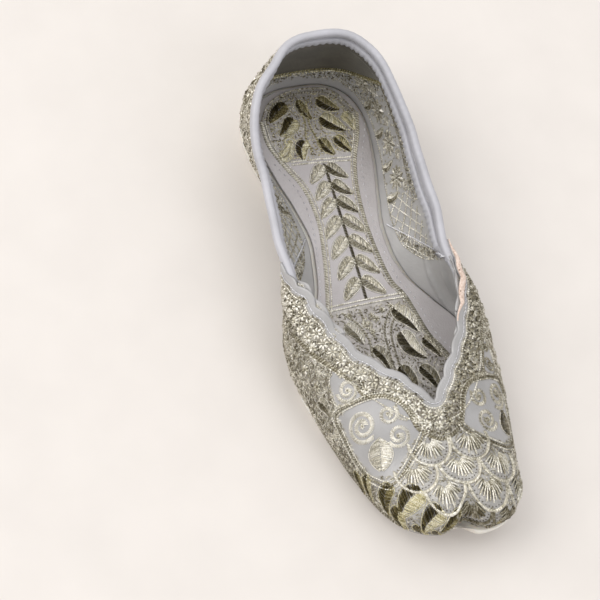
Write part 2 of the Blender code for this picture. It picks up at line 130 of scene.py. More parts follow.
# The last above the feather line: station, crest height, squareness of the section,
# swell low on the inner and outer side, flare at topline height on the inner and outer side
LAST_SECTIONS = (
    (0.00, 0.82 * TOE_HEIGHT, 2.5, 0.0018, 0.002, 0.0000, 0.0000),
    (0.13, 1.12 * TOE_HEIGHT, 2.5, 0.0026, 0.0042, 0.0000, 0.0000),
    (0.25, 1.00 * THROAT_HEIGHT, 2.45, 0.0034, 0.003, 0.0000, 0.0000),
    (0.36, 0.60 * INSTEP_HEIGHT, 2.45, 0.0058, 0.0018, 0.007, -0.0025),
    (0.5, 0.75 * INSTEP_HEIGHT, 2.65, 0.0068, 0.0034, 0.02, 0.0056),
    (0.62, 0.90 * INSTEP_HEIGHT, 2.75, 0.0075, 0.006, 0.0255, 0.014),
    (0.76, 1.12 * INSTEP_HEIGHT, 2.75, 0.005, 0.0045, 0.017, 0.006),
    (0.89, 1.30 * INSTEP_HEIGHT, 2.7, 0.006, 0.0032, 0.0022, -0.002),
    (0.95, 1.30 * INSTEP_HEIGHT, 2.7, 0.0056, 0.003, -0.005, -0.0028),
    (1.00, 1.30 * INSTEP_HEIGHT, 2.7, 0.003, 0.003, 0.0000, 0.0000))

# Topline above the floor: station, height
TOPLINE = (
    (0.36, 0.036), (0.42, SIDE_HEIGHT - 0.0035), (0.47, SIDE_HEIGHT - 0.001), (0.54, SIDE_HEIGHT),
    (0.66, SIDE_HEIGHT + 0.001), (0.8, SIDE_HEIGHT + 0.40 * (BACK_HEIGHT - SIDE_HEIGHT)),
    (0.92, SIDE_HEIGHT + 0.82 * (BACK_HEIGHT - SIDE_HEIGHT)), (1.00, BACK_HEIGHT))

# The throat: station, and how far out from the crest (0) towards the feather line (1) its
# inner and outer edges lie
THROAT = (
    (0.2393, 0.000, 0.000), (0.25, 0.068, 0.064), (0.274, 0.155, 0.15), (0.3, 0.265, 0.25),
    (0.325, 0.392, 0.35), (0.365, 0.512, 0.475), (0.4, 0.57, 0.545), (0.435, 0.626, 0.62),
    (0.47, 0.685, 0.71), (0.5, 0.757, 0.8), (0.53, 0.85, 0.865), (0.56, 0.887, 0.89))

# Sections of the upper: station at the feather line, station of the same section at the opening
SECTION_PLANES = (
    (0.00, 0.2393), (0.06, 0.25), (0.14, 0.271), (0.22, 0.301), (0.31, 0.346), (0.4, 0.408),
    (0.48, 0.479), (0.56, 0.557), (0.7, 0.7), (1.00, 1.0000))

# Where each section across the heel aims: station at the feather line, station aimed at
SECTION_AIM = (
    (0.00, 0.00), (0.7, 0.7), (0.8, 0.78), (0.9, 0.82), (1.00, 0.83))


def rows(table, column, station):
    """Smooth value of one column of a section table, without overshoot between its rows."""
    x = np.array([row[0] for row in table])
    y = np.array([row[column] for row in table])
    step = np.diff(x)
    rise = np.diff(y) / step
    slope = np.zeros(len(x))
    slope[0] = rise[0]
    slope[-1] = rise[-1]
    for k in range(1, len(x) - 1):
        if rise[k - 1] * rise[k] > 0:
            before = 2 * step[k] + step[k - 1]
            after = step[k] + 2 * step[k - 1]
            slope[k] = (before + after) / (before / rise[k - 1] + after / rise[k])
    s = np.clip(station, x[0], x[-1])
    k = np.clip(np.searchsorted(x, s, side="right") - 1, 0, len(x) - 2)
    t = (s - x[k]) / step[k]
    left = (1 + 2 * t) * (1 - t) ** 2 * y[k] + t * (1 - t) ** 2 * step[k] * slope[k]
    right = t * t * (3 - 2 * t) * y[k + 1] + t * t * (t - 1) * step[k] * slope[k + 1]
    return left + right


def ease(low, high, value):
    """0 below low, 1 above high, smooth between."""
    t = np.clip((value - low) / (high - low), 0.0, 1.0)
    return t * t * (3 - 2 * t)


def toe_share(station):
    """1 at the toe tip, 0 where the toe's rounding starts."""
    return np.clip((TOE_ROUND - station) / TOE_ROUND, 0.0, 1.0)


def heel_share(station):
    """1 at the heel tip, 0 where the heel's rounding starts."""
    return np.clip((station - 1 + HEEL_ROUND) / HEEL_ROUND, 0.0, 1.0)


def end_round(station):
    """How full the outline is: 1 along the shoe, falling to 0 at the toe and heel tips."""
    front = np.maximum(1 - toe_share(station) ** TOE_SQUARE, 0.0) ** (1 / TOE_SQUARE)
    back = np.maximum(1 - heel_share(station) ** HEEL_SQUARE, 0.0) ** (1 / HEEL_SQUARE)
    return front * back


def middle_and_half(station):
    """The sole's middle line and its half width before the ends are rounded."""
    inner, outer = rows(SOLE_OUTLINE, 1, station), rows(SOLE_OUTLINE, 2, station)
    return 0.5 * (inner + outer) * BALL_WIDTH, 0.5 * (outer - inner) * BALL_WIDTH


def cleft(x, y, spread=1.0, depth=1.0):
    """Slant the toe's front and push it back between its two lobes."""
    ahead = np.exp(-((y + 0.5 * LENGTH) / TOE_SLANT_REACH) ** 2)
    side = np.exp(-((x - CLEFT_X) / (spread * CLEFT_WIDTH)) ** 2)
    near = np.exp(-((y + 0.5 * LENGTH) / (2.6 * CLEFT_DEPTH)) ** 2)
    return y + depth * CLEFT_DEPTH * side * near - TOE_SLANT * (x - CLEFT_X) * ahead


def plan_point(station, share, inset):
    """A point of the plan: share -1 at the inner edge, +1 at the outer, all drawn in by inset."""
    middle, half = middle_and_half(station)
    x = middle + share * (half - inset) * end_round(station)
    y = (station - 0.5) * LENGTH
    return x, y + inset * (toe_share(station) ** 2 - heel_share(station) ** 2)


def reach_at(station):
    """Half width of the upper at its feather line."""
    return (middle_and_half(station)[1] - RIM) * end_round(station)


def plan_place(x, y):
    """Station and share of a place in the upper's plan."""
    station = np.clip(y / LENGTH + 0.5, 0.0, 1.0)
    for settle in range(4):
        pull = RIM * (toe_share(station) ** 2 - heel_share(station) ** 2)
        station = np.clip((y - pull) / LENGTH + 0.5, 0.0, 1.0)
    middle = middle_and_half(station)[0]
    share = np.clip((x - middle) / np.maximum(reach_at(station), 1e-7), -1.0, 1.0)
    return station, share


def height_at(table, y):
    """Height of the sole's upper face or underside at a world y."""
    return rows(table, 1, y / LENGTH + 0.5)


def lap_of(station, lift):
    """How far the vamp stands out over the quarters that it covers."""
    step = LAP_STEP * (1 + LAP_SPREAD * np.clip(lift / SIDE_HEIGHT, 0.0, 1.0))
    return step * ease(LAP_FADE, LAP_FADE + 0.12, station)


def last_point(station, share, lap=0.0):
    """A point on the outside of the last: share -1 at the inner feather line, 0 at the crest,
    +1 at the outer feather line.  lap is 1 on the vamp, 0 on the quarters under it."""
    square = rows(LAST_SECTIONS, 2, station)
    edge = np.clip(np.abs(share), 0.0, 1.0)
    lift = rows(LAST_SECTIONS, 1, station) * end_round(station)
    lift = lift * np.maximum(1 - edge ** square, 0.0) ** (1 / square)
    swell = np.where(share < 0, rows(LAST_SECTIONS, 3, station), rows(LAST_SECTIONS, 4, station))
    flare = np.where(share < 0, rows(LAST_SECTIONS, 5, station), rows(LAST_SECTIONS, 6, station))
    out = swell * np.sin(0.5 * math.pi * np.clip(lift / SWELL_RISE, 0.0, 1.0))
    out = out + flare * lift / SIDE_HEIGHT + lap * lap_of(station, lift)
    x, y = plan_point(station, share, RIM)
    x = x + share * out
    y = cleft(x, y + out * (heel_share(station) ** 2 - toe_share(station) ** 2))
    z = height_at(SOLE_TOP, y) + GAP + lift
    return np.stack([x, y, z], axis=-1)


def along(line):
    """Length measured along a line of points."""
    return np.concatenate([[0.0], np.cumsum(np.linalg.norm(np.diff(line, axis=0), axis=1))])


def pairs(x, y):
    """Places in a plane from their two coordinates."""
    return np.stack([x, y], axis=1)


def unit(directions):
    """Directions brought to length 1."""
    return directions / np.maximum(np.linalg.norm(directions, axis=-1, keepdims=True), 1e-15)


def at_lengths(line, measure, wanted):
    """Places at wanted lengths along a line."""
    return np.stack([np.interp(wanted, measure, column) for column in line.T], axis=1)


def resample(line, measure, count):
    """Count points spread evenly in a given measure along a line."""
    return at_lengths(line, measure, np.linspace(0.0, measure[-1], count))


def side_stations(side, inset, count):
    """Stations from toe tip to heel tip, even along the edge and closer at the toe."""
    station = 0.5 - 0.5 * np.cos(np.linspace(0.0, math.pi, 2400))
    measure = along(pairs(*plan_point(station, side, inset)))
    measure = measure + 0.05 * ease(0.0, 0.035, measure)
    return resample(station[:, None], measure, count)[:, 0]


def scallop(measure):
    """Lobes along the cut edge of the throat, measured from its apex."""
    return SCALLOP_DEPTH * np.abs(np.sin(math.pi * measure / SCALLOP_PITCH))


def section_reaches(side, foot, height):
    """Station and share where each section of the quarters climbs to a height above the floor."""
    aim = rows(SECTION_AIM, 1, foot)
    step = np.linspace(0.0, 1.0, 900)[None, :]
    x0, y0 = plan_point(foot, side, RIM)
    x = x0[:, None] * (1 - step) + middle_and_half(aim)[0][:, None] * step
    y = y0[:, None] * (1 - step) + ((aim - 0.5) * LENGTH)[:, None] * step
    station, share = plan_place(x, y)
    z = last_point(station, share)[..., 2]
    first = np.maximum(np.argmax(z >= height[:, None], axis=1), 1)
    pick = np.arange(len(foot))
    before = z[pick, first - 1]
    part = np.clip((height - before) / np.maximum(z[pick, first] - before, 1e-9), 0.0, 1.0)
    return [value[pick, first - 1] * (1 - part) + value[pick, first] * part for value in (station, share)]


def opening_edge(side, foot):
    """Station and share where each section of the upper ends at the throat or the topline."""
    station = rows(SECTION_PLANES, 1, foot)
    ear = EAR_INNER if side < 0 else EAR_OUTER
    throat = rows(THROAT, 1 if side < 0 else 2, station)
    width = np.maximum(reach_at(station), 1e-6)
    run = along(pairs(throat * width, station * LENGTH))
    cut = scallop(run) * ease(0.0, 0.08, throat) * (1 - ease(ear - 0.060, ear - 0.030, station))
    throat = np.maximum(throat - cut / width, 0.0)
    height = rows(TOPLINE, 1, station) - (ROLL_HEIGHT + GAP) * ease(ear, ear + 0.014, station)
    end_station, end_share = section_reaches(side, foot, height)
    turn = ease(ear - 0.016, ear + 0.002, station)
    end_station = station * (1 - turn) + end_station * turn
    end_share = side * throat * (1 - turn) + end_share * turn
    return end_station, end_share


# ---- charts: the sheets laid flat ----

# The middle of the frame's box, in the coordinates of the tables above
MIDDLE = np.array([0.0023457, 0.0003309, 0.0])
CHART_PITCH = 0.0005


def bilinear(table, row, column):
    """A value of a table of vectors, between its rows and columns."""
    r = np.clip(np.floor(row).astype(int), 0, table.shape[0] - 2)
    c = np.clip(np.floor(column).astype(int), 0, table.shape[1] - 2)
    a = np.clip(row - r, 0.0, 1.0)[..., None]
    b = np.clip(column - c, 0.0, 1.0)[..., None]
    near = table[r, c] * (1 - b) + table[r, c + 1] * b
    far = table[r + 1, c] * (1 - b) + table[r + 1, c + 1] * b
    return near * (1 - a) + far * a


def grid_normals(grid):
    """The normal at each point of a grid."""
    return unit(np.cross(np.gradient(grid, axis=0), np.gradient(grid, axis=1)))


class Chart:
    """A sheet of the shoe laid flat: rows of points along it, each from low to high across."""

    def __init__(self, points, start, low, high):
        """The sheet's rows, where along it they start, and where each begins and ends across."""
        self.points = points - MIDDLE
        self.normal = -grid_normals(self.points)
        self.start, self.low, self.high = start, low, high

    def edges(self, u):
        """Where the sheet begins and ends across, at places u along it."""
        row = (np.asarray(u, float) - self.start) / CHART_PITCH
        index = np.arange(len(self.low))
        return np.interp(row, index, self.low), np.interp(row, index, self.high)

    def at(self, u, v, lift):
        """Places on the sheet u along and v across it, raised by lift from its outside."""
        row = (np.asarray(u, float) - self.start) / CHART_PITCH
        low, high = self.edges(u)
        share = (np.asarray(v, float) - low) / np.maximum(high - low, 1e-9)
        column = share * (self.points.shape[1] - 1)
        normal = unit(bilinear(self.normal, row, column))
        return bilinear(self.points, row, column) + normal * np.asarray(lift, float)[..., None]


def spread_evenly(lines, reach, low, high, count):
    """Points at even arc lengths from low to high along each line."""
    return np.stack([at_lengths(line, measure, np.linspace(first, last, count))
                     for line, measure, first, last in zip(lines, reach, low, high)])


def arc_lengths(lines):
    """Arc length along each line of a grid."""
    step = np.linalg.norm(np.diff(lines, axis=1), axis=2)
    return np.concatenate([np.zeros((len(lines), 1)), np.cumsum(step, axis=1)], axis=1)


LAP_DROP = 0.0034
# Station of the toe's brow, where the vamp's chart begins
BROW = 0.0005


def turned_down(line):
    """How far the vamp is drawn down over the sole's edge, which it hides round the inner toe."""
    across = 1 - ease(CLEFT_X - 0.006, CLEFT_X + 0.001, line[..., 0])
    back = 1 - ease(-0.090, -0.060, line[..., 1])
    return 0.0002 + LAP_DROP * across * back


def hang(line, count):
    """Rows of points under a line of the feather edge, lowest first."""
    fall = turned_down(line)[:, None] * np.linspace(1.0, 0.0, count, endpoint=False)[None, :]
    out = np.repeat(line[:, None, :], count, axis=1)
    out[..., 2] -= fall
    return out


def lay_out_vamp():
    """The vamp's chart: u back over the crest from the brow of the toe, v sideways from it."""
    station = np.concatenate([0.03 * np.linspace(0.02, 1.0, 90, endpoint=False) ** 2,
                              np.linspace(0.03, 0.62, 420)])
    share = np.sin(np.linspace(-0.5 * math.pi, 0.5 * math.pi, 321))
    place, side = np.meshgrid(station, share, indexing="ij")
    sheet = last_point(place, side, 1.0)
    run = along(sheet[:, 160])
    run = run - np.interp(BROW, station, run)
    reach = arc_lengths(sheet)
    reach = reach - reach[:, 160:161]
    sheet = np.concatenate([hang(sheet[:, 0], 8), sheet, hang(sheet[:, -1], 8)[:, ::-1]], axis=1)
    whole = arc_lengths(sheet)
    whole = whole - whole[:, 168:169]
    even = spread_evenly(sheet, whole, whole[:, 0], whole[:, -1], 241)
    wanted = np.arange(run[0], run[-1], CHART_PITCH)
    grid = np.apply_along_axis(lambda line: np.interp(wanted, run, line), 0, even)
    low, high = (np.interp(wanted, run, whole[:, end]) for end in (0, -1))
    return Chart(grid, run[0], low, high), (station, share, run, reach)


def climb(side, foot, end_station, end_share):
    """Stations and shares of lines up the wall from the feather line to its upper edge, straight
    in plan."""
    x0, y0 = plan_point(foot, side, RIM)
    x1, y1 = plan_point(end_station, end_share, RIM)
    step = (1 - np.cos(np.linspace(0.0, 0.5 * math.pi, 400)))[None, :]
    station, share = plan_place(x0[:, None] * (1 - step) + x1[:, None] * step,
                                y0[:, None] * (1 - step) + y1[:, None] * step)
    share[:, 0] = side
    return station, share


def lay_out_wall():
    """The wall's chart: u along the feather line from the heel tip, - inner and + outer side,
    v up the wall to the topline or the throat."""
    halves = []
    for side in (-1.0, 1.0):
        foot = 0.5 - 0.5 * np.cos(np.linspace(0.0, math.pi, 4000))
        run = along(last_point(foot, np.full(len(foot), side)))
        back = run[-1] - run
        foot = np.interp(np.arange(0.0, run[-1], CHART_PITCH), back[::-1], foot[::-1])
        lines = last_point(*climb(side, foot, *opening_edge(side, foot)))
        reach = arc_lengths(lines)
        high = reach[:, -1]
        halves.append((spread_evenly(lines, reach, 0 * high, high, 121), high, foot))
    grid, high, foot = (np.concatenate([inner[:0:-1], outer]) for inner, outer in zip(*halves))
    return Chart(grid, -CHART_PITCH * (len(halves[0][1]) - 1), 0 * high, high), foot


class Sock:
    """The sock's upper face: u along the shoe, v across it."""

    def at(self, u, v, lift):
        """Places above the sock's face."""
        u, v = np.broadcast_arrays(np.asarray(u, float), np.asarray(v, float))
        z = height_at(SOLE_TOP, u) + GAP + SOCK_THICKNESS + lift
        return np.stack([v, u, z], axis=-1) - MIDDLE


vamp_chart, vamp_rule = lay_out_vamp()
wall_chart, wall_foot = lay_out_wall()
sock_chart = Sock()


def wall_u(side, station):
    """Where a station of the feather line lies along the wall's chart."""
    u = wall_chart.start + CHART_PITCH * np.arange(len(wall_foot))
    keep = (u <= 0) if side < 0 else (u >= 0)
    order = np.argsort(wall_foot[keep])
    return np.interp(station, wall_foot[keep][order], u[keep][order])


def vamp_place(place_station, place_share):
    """Where a station and share of the last lie on the vamp's chart."""
    station, share, run, reach = vamp_rule
    row = np.interp(place_station, station, np.arange(len(station)))
    column = np.interp(place_share, share, np.arange(len(share)))
    return np.interp(place_station, station, run), bilinear(reach[..., None], row, column)[..., 0]


def wall_place(side, y, height):
    """A wall chart place in millimetres from a place along the shoe and a height up the wall."""
    return [wall_u(side, 0.5 + y / 1000 / LENGTH) * 1000, height]


# ---- making pieces ----


def put(name, data):
    """A new object of the scene."""
    thing = bpy.data.objects.new(name, data)
    bpy.context.scene.collection.objects.link(thing)
    return thing


def mark_points(mesh, marks):
    """Values kept on a mesh's points under a name, for its material."""
    for key, values in marks.items():
        mesh.attributes.new(key, "FLOAT", "POINT").data.foreach_set("value", np.asarray(values, float))


def add_piece(name, mesh):
    """A named piece of the shoe, riding on the shoe."""
    piece = put(name, mesh)
    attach(piece, "root")
    return piece


def make_piece(name, points, faces, material, marks=None):
    """A piece from points and faces, its faces turned outward."""
    mesh = bpy.data.meshes.new(name)
    mesh.from_pydata(np.asarray(points, float).tolist(), [], faces)
    mark_points(mesh, marks or {})
    work = bmesh.new()
    work.from_mesh(mesh)
    bmesh.ops.recalc_face_normals(work, faces=work.faces)
    work.to_mesh(mesh)
    work.free()
    mesh.shade_smooth()
    mesh.materials.append(material)
    return add_piece(name, mesh)


def leather(name, outside, inside, material, ring, cover):
    """A closed sheet of leather between two grids of points, its edges walled in."""
    count, width = outside.shape[:2]
    points = np.concatenate([outside.reshape(-1, 3), inside.reshape(-1, 3)])
    back = count * width
    faces = []
    for r in range(count if ring else count - 1):
        n = (r + 1) % count
        for c in range(width - 1):
            a, b, e, f = r * width + c, n * width + c, n * width + c + 1, r * width + c + 1
            faces += [(a, b, e, f), (back + a, back + f, back + e, back + b)]
        for c in (0, width - 1):
            a, b = r * width + c, n * width + c
            faces.append((a, back + a, back + b, b))
    for r in () if ring else (0, count - 1):
        for c in range(width - 1):
            a, b = r * width + c, r * width + c + 1
            faces.append((a, b, back + b, back + a))
    marks = None if cover is None else {"cover": np.tile(cover.reshape(-1), 2)}
    return make_piece(name, points, faces, material, marks)


def tube(name, centre_line, outward, climb, across, above, material, slot):
    """A closed bar of one section swept along a line, open section ends capped."""
    rings, sides = len(centre_line), across.shape[1]
    points = (centre_line[:, None] + outward[:, None] * across[..., None]
              + climb[:, None] * above[..., None]).reshape(-1, 3)
    faces = []
    for r in range(rings - 1):
        for k in range(sides):
            n = (k + 1) % sides
            a, b = r * sides, (r + 1) * sides
            faces.append((a + k, a + n, b + n, b + k))
    last = (rings - 1) * sides
    faces.append(tuple(range(sides)))
    faces.append(tuple(last + k for k in reversed(range(sides))))
    return make_piece(name, points, faces, material)


def edge_ring(stations, inset, height, toe_ease=0.0, spread=1.0, trim=0.0, depth=1.0):
    """A closed ring of plan points: outer side toe to heel, then inner side heel to toe."""
    between = stations[1:-1]
    beside = plan_point(stations, 1.0, inset)[0] - CLEFT_X
    drawn_out = inset + trim * (1 - ease(0.0, 0.007, beside)) * (stations < 0.1)
    drawn_in = inset + trim * (1 - ease(0.24, 0.36, between))
    outer = pairs(*plan_point(stations, 1.0, drawn_out))
    inner = pairs(*plan_point(between, -1.0, drawn_in))[::-1]
    x, y = np.concatenate([outer, inner]).T
    back = toe_ease * np.exp(-((y + 0.5 * LENGTH) / (2 * CLEFT_DEPTH)) ** 2)
    y = cleft(x, y + back, spread, depth)
    return np.stack([x, y, height(y)], axis=1)


def slab(rings, ladder, low, high):
    """A solid from rings running from its upper face round the edge to its underside, both
    faces closed with rungs across; low and high give their heights at x, y."""
    count = len(rings[0])
    half = count // 2
    points = [np.concatenate(rings)]
    total = count * len(rings)
    faces = []
    for r in range(len(rings) - 1):
        for k in range(count):
            n = (k + 1) % count
            faces.append((r * count + k, r * count + n, (r + 1) * count + n, (r + 1) * count + k))
    share = np.linspace(0.0, 1.0, ladder + 1)[1:-1, None]
    for base, ring, height in ((0, rings[0], high), ((len(rings) - 1) * count, rings[-1], low)):
        rungs = [[base]]
        for k in range(1, half):
            line = ring[k] * (1 - share) + ring[count - k] * share
            line[:, 2] = height(line[:, 0], line[:, 1])
            points.append(line)
            rungs.append([base + k, *range(total, total + ladder - 1), base + count - k])
            total += ladder - 1
        rungs.append([base + half])
        for a, b in zip(rungs, rungs[1:]):
            if len(a) == 1:
                faces.extend((a[0], b[k], b[k + 1]) for k in range(ladder))
            elif len(b) == 1:
                faces.extend((b[0], a[k + 1], a[k]) for k in range(ladder))
            else:
                faces.extend((a[k], b[k], b[k + 1], a[k + 1]) for k in range(ladder))
    return np.concatenate(points), faces


def soften(line):
    """A line with its small corners rounded, by the mean of nine places."""
    kernel = np.ones(9) / 9
    return np.stack([np.convolve(np.pad(column, 4, mode="edge"), kernel, "valid") for column in line.T],
                    axis=1)


# ---- materials ----


def linear(code):
    """An sRGB hex colour as linear red, green, blue and alpha."""
    parts = [int(code[k:k + 2], 16) / 255 for k in (1, 3, 5)]
    return [p / 12.92 if p <= 0.04045 else ((p + 0.055) / 1.055) ** 2.4 for p in parts] + [1.0]


def join(tree, node, links):
    """Feed a node's inputs with values or from sockets; a node stands for its first output."""
    for socket, source in links.items():
        if isinstance(source, bpy.types.Node):
            source = source.outputs[0]
        if isinstance(source, bpy.types.NodeSocket):
            tree.links.new(source, node.inputs[socket])
        else:
            node.inputs[socket].default_value = source


def add(tree, kind, links=None, stops=(), **settings):
    """One node of a material or a node tree, with its settings and what feeds its inputs; stops
    are the places and hex colours of a colour ramp."""
    made = tree.nodes.new(kind)
    for key, value in settings.items():
        setattr(made, key, value)
    join(tree, made, links or {})
    if stops:
        band = made.color_ramp.elements
        while len(band) < len(stops):
            band.new(0.5)
        for element, (place, code) in zip(band, stops):
            element.position = place
            element.color = linear(code)
    return made


def start_material(name, **shader_values):
    """A new material: its tree, its shader and the object coordinates in metres."""
    material = bpy.data.materials.new(name)
    material.use_nodes = True
    tree = material.node_tree
    shader = tree.nodes["Principled BSDF"]
    for socket, value in shader_values.items():
        shader.inputs[socket.replace("_", " ")].default_value = value
    return material, tree, shader, add(tree, "ShaderNodeTexCoord").outputs["Object"]


def coated_leather(name, dark, light, grain, depth, roughness, metallic):
    """Split leather with a pearly polyurethane coat, rolled with a fine pebble grain: a broad
    soft sheen, faint cloudy changes of tone, grain that only shows in raking light."""
    material, tree, shader, place = start_material(
        name, Roughness=roughness, Metallic=metallic, IOR=1.5, Coat_Weight=0.10, Coat_Roughness=0.45)
    # Clouds about 14 mm across, pebbles one grain across
    cloud = add(tree, "ShaderNodeTexNoise", {"Vector": place, "Scale": 70.0, "Detail": 3.0})
    pebble = add(tree, "ShaderNodeTexVoronoi", {"Vector": place, "Scale": 1.0 / grain})
    wander = add(tree, "ShaderNodeTexNoise", {"Vector": place, "Scale": 1.0 / grain, "Detail": 2.0})
    tone = add(tree, "ShaderNodeValToRGB", {"Fac": cloud}, ((0.3, dark), (0.7, light)))
    relief = add(tree, "ShaderNodeMath", {0: pebble, 1: wander}, operation="ADD")
    bump = add(tree, "ShaderNodeBump", {"Height": relief, "Strength": depth, "Distance": 0.0002})
    shine = add(tree, "ShaderNodeMapRange",
                {"Value": cloud, "To Min": roughness - 0.05, "To Max": roughness + 0.07})
    join(tree, shader, {"Base Color": tone, "Roughness": shine, "Normal": bump})
    return material, tree, shader, place, tone, bump


def embroidered_leather(name, dark, light):
    """Coated leather that shows a bed of crossed underlay stitches, pale gold over olive, where
    the mark "cover" is 1."""
    material, tree, shader, place, tone, bump = coated_leather(
        name, dark, light, 0.0009, 0.35, 0.42, 0.25)
    cover = add(tree, "ShaderNodeAttribute", attribute_name="cover").outputs["Fac"]
    # Underlay stitches about 0.8 mm apart
    fleck = add(tree, "ShaderNodeTexNoise",
                {"Vector": place, "Scale": 1250.0, "Detail": 2.0, "Roughness": 0.6})
    shade = add(tree, "ShaderNodeTexNoise", {"Vector": place, "Scale": 160.0, "Detail": 2.0})
    both = add(tree, "ShaderNodeMath", {0: fleck, 1: shade}, operation="ADD")
    half = add(tree, "ShaderNodeMath", {0: both, 1: 0.5}, operation="MULTIPLY")
    bed = add(tree, "ShaderNodeValToRGB", {"Fac": half},
              ((0.38, "#787160"), (0.46, "#98938A"), (0.54, "#B6B2A8"), (0.63, "#E4E1D8")))
    mixed = add(tree, "ShaderNodeMix", {0: cover, FIRST_COLOUR: tone, SECOND_COLOUR: bed},
                data_type="RGBA")
    shine = add(tree, "ShaderNodeMapRange", {"Value": cover, "To Min": 0.25, "To Max": 0.6})
    rise = add(tree, "ShaderNodeMath", {0: fleck, 1: cover}, operation="MULTIPLY")
    weave = add(tree, "ShaderNodeBump",
                {"Height": rise, "Strength": 0.8, "Distance": 0.0005, "Normal": bump})
    join(tree, shader, {"Base Color": mixed.outputs[MIXED_COLOUR], "Metallic": shine, "Normal": weave})
    return material


def metal_thread(name, *stops):
    """Zari: flat metal strip wound round a cotton core, bright where a turn faces the light.
    The mark "tone" runs from the darkest to the brightest thread: partly the thread's own tarnish, partly
    painted highlight and painted shade."""
    material, tree, shader, place = start_material(name, Metallic=0.85, Roughness=0.30)
    tone = add(tree, "ShaderNodeAttribute", attribute_name="tone").outputs["Fac"]
    # Turns of the strip drawn 0.5 mm apart, coarser than the real 0.15 mm so that they show; they bump the
    # thread and also lighten and darken its colour as painted glints and painted shade
    turn = add(tree, "ShaderNodeTexNoise", {"Vector": place, "Scale": 1900.0, "Detail": 2.0})
    spread = add(tree, "ShaderNodeMapRange",
                 {"Value": turn, "From Min": 0.3, "From Max": 0.7, "To Min": -0.26, "To Max": 0.20})
    level = add(tree, "ShaderNodeMath", {0: tone, 1: spread}, operation="ADD")
    join(tree, shader, {
        "Base Color": add(tree, "ShaderNodeValToRGB", {"Fac": level}, stops),
        "Normal": add(tree, "ShaderNodeBump", {"Height": turn, "Strength": 0.9, "Distance": 0.0003})})
    return material


def raw_split(name):
    """The cut edge of the split leather: undyed pinkish fibres, quite matt, pricked by the needle, with
    painted shade in the needle holes.
    """
    material, tree, shader, place = start_material(name, Roughness=0.85, IOR=1.45, Sheen_Weight=0.2)
    fibre = add(tree, "ShaderNodeTexNoise", {"Vector": place, "Scale": 900.0, "Detail": 4.0})
    hole = add(tree, "ShaderNodeTexVoronoi", {"Vector": place, "Scale": 420.0})
    pale = add(tree, "ShaderNodeValToRGB", {"Fac": fibre},
               ((0.3, "#C2A999"), (0.6, "#E2CFC3"), (0.8, "#EFE4DA")))
    # Painted shade: dark brown dots where the needle holes are
    pit = add(tree, "ShaderNodeValToRGB", {"Fac": hole}, ((0.10, "#7A6557"), (0.22, "#FFFFFF")))
    mixed = add(tree, "ShaderNodeMix", {0: 1.0, FIRST_COLOUR: pale, SECOND_COLOUR: pit},
                data_type="RGBA", blend_type="MULTIPLY")
    bump = add(tree, "ShaderNodeBump", {"Height": fibre, "Strength": 0.6, "Distance": 0.0003})
    join(tree, shader, {"Base Color": mixed.outputs[MIXED_COLOUR], "Normal": bump})
    return material


def moulded_rubber(name):
    """Milky thermoplastic rubber, pressed in a mould: satin, slightly see-through at its edges,
    a little dust in soft blotches."""
    material, tree, shader, place = start_material(
        name, Roughness=0.42, IOR=1.52, Subsurface_Weight=0.25, Subsurface_Scale=0.004,
        Subsurface_Radius=(1.0, 0.8, 0.6))
    dust = add(tree, "ShaderNodeTexNoise", {"Vector": place, "Scale": 60.0, "Detail": 4.0})
    tone = add(tree, "ShaderNodeValToRGB", {"Fac": dust},
               ((0.3, "#D9D3C8"), (0.5, "#E6E2DA"), (0.75, "#EDEAE3")))
    skin = add(tree, "ShaderNodeTexNoise", {"Vector": place, "Scale": 700.0, "Detail": 3.0})
    bump = add(tree, "ShaderNodeBump", {"Height": skin, "Strength": 0.15, "Distance": 0.0002})
    join(tree, shader, {"Base Color": tone, "Normal": bump})
    return material


def suede(name):
    """Heel grip of napped suede: matt olive-brown, darkened in part by painted shade of the heel cup, its
    nap brushed to and fro.
    """
    material, tree, shader, place = start_material(name, Roughness=0.9, IOR=1.45, Sheen_Weight=0.35)
    nap = add(tree, "ShaderNodeTexNoise", {"Vector": place, "Scale": 1500.0, "Detail": 3.0})
    stroke = add(tree, "ShaderNodeTexNoise", {"Vector": place, "Scale": 110.0, "Detail": 3.0})
    both = add(tree, "ShaderNodeMath", {0: nap, 1: stroke}, operation="ADD")
    half = add(tree, "ShaderNodeMath", {0: both, 1: 0.5}, operation="MULTIPLY")
    # Painted shade: the suede's colours are close to how it looks in the shade of the heel cup, partly its
    # own olive-brown
    tone = add(tree, "ShaderNodeValToRGB", {"Fac": half}, ((0.35, "#3A3526"), (0.65, "#575142")))
    bump = add(tree, "ShaderNodeBump", {"Height": nap, "Strength": 0.5, "Distance": 0.0003})
    join(tree, shader, {"Base Color": tone, "Normal": bump})
    return material


# A mix node's sockets for colours
FIRST_COLOUR, SECOND_COLOUR, MIXED_COLOUR = 6, 7, 2

vamp_leather = embroidered_leather("silver coated leather, embroidered", "#A09F9F", "#B0AFB0")
# The lining's leather is paler than the vamp's: painted light, against the shade that falls inside the shoe
lining_leather_painted_lighter = embroidered_leather("silver lining leather, embroidered", "#B1B0B0", "#C1C0C0")
binding_leather = coated_leather("lilac silver binding leather", "#ADADB3", "#BCBCC3",
                                 0.0007, 0.2, 0.50, 0.10)[0]
sock_leather = embroidered_leather("mauve silver sock leather", "#AEA9AA", "#BBB7B8")
cut_edge = raw_split("raw cut edge of split leather")
sole_rubber = moulded_rubber("milky moulded rubber")
grip_suede_painted_shade = suede("olive suede heel grip")
gold_thread = metal_thread("pale gold zari thread", (0.05, "#3B331E"), (0.30, "#77705A"),
                           (0.55, "#ABA593"), (0.80, "#E1DCCD"), (1.0, "#FDFAF2"))
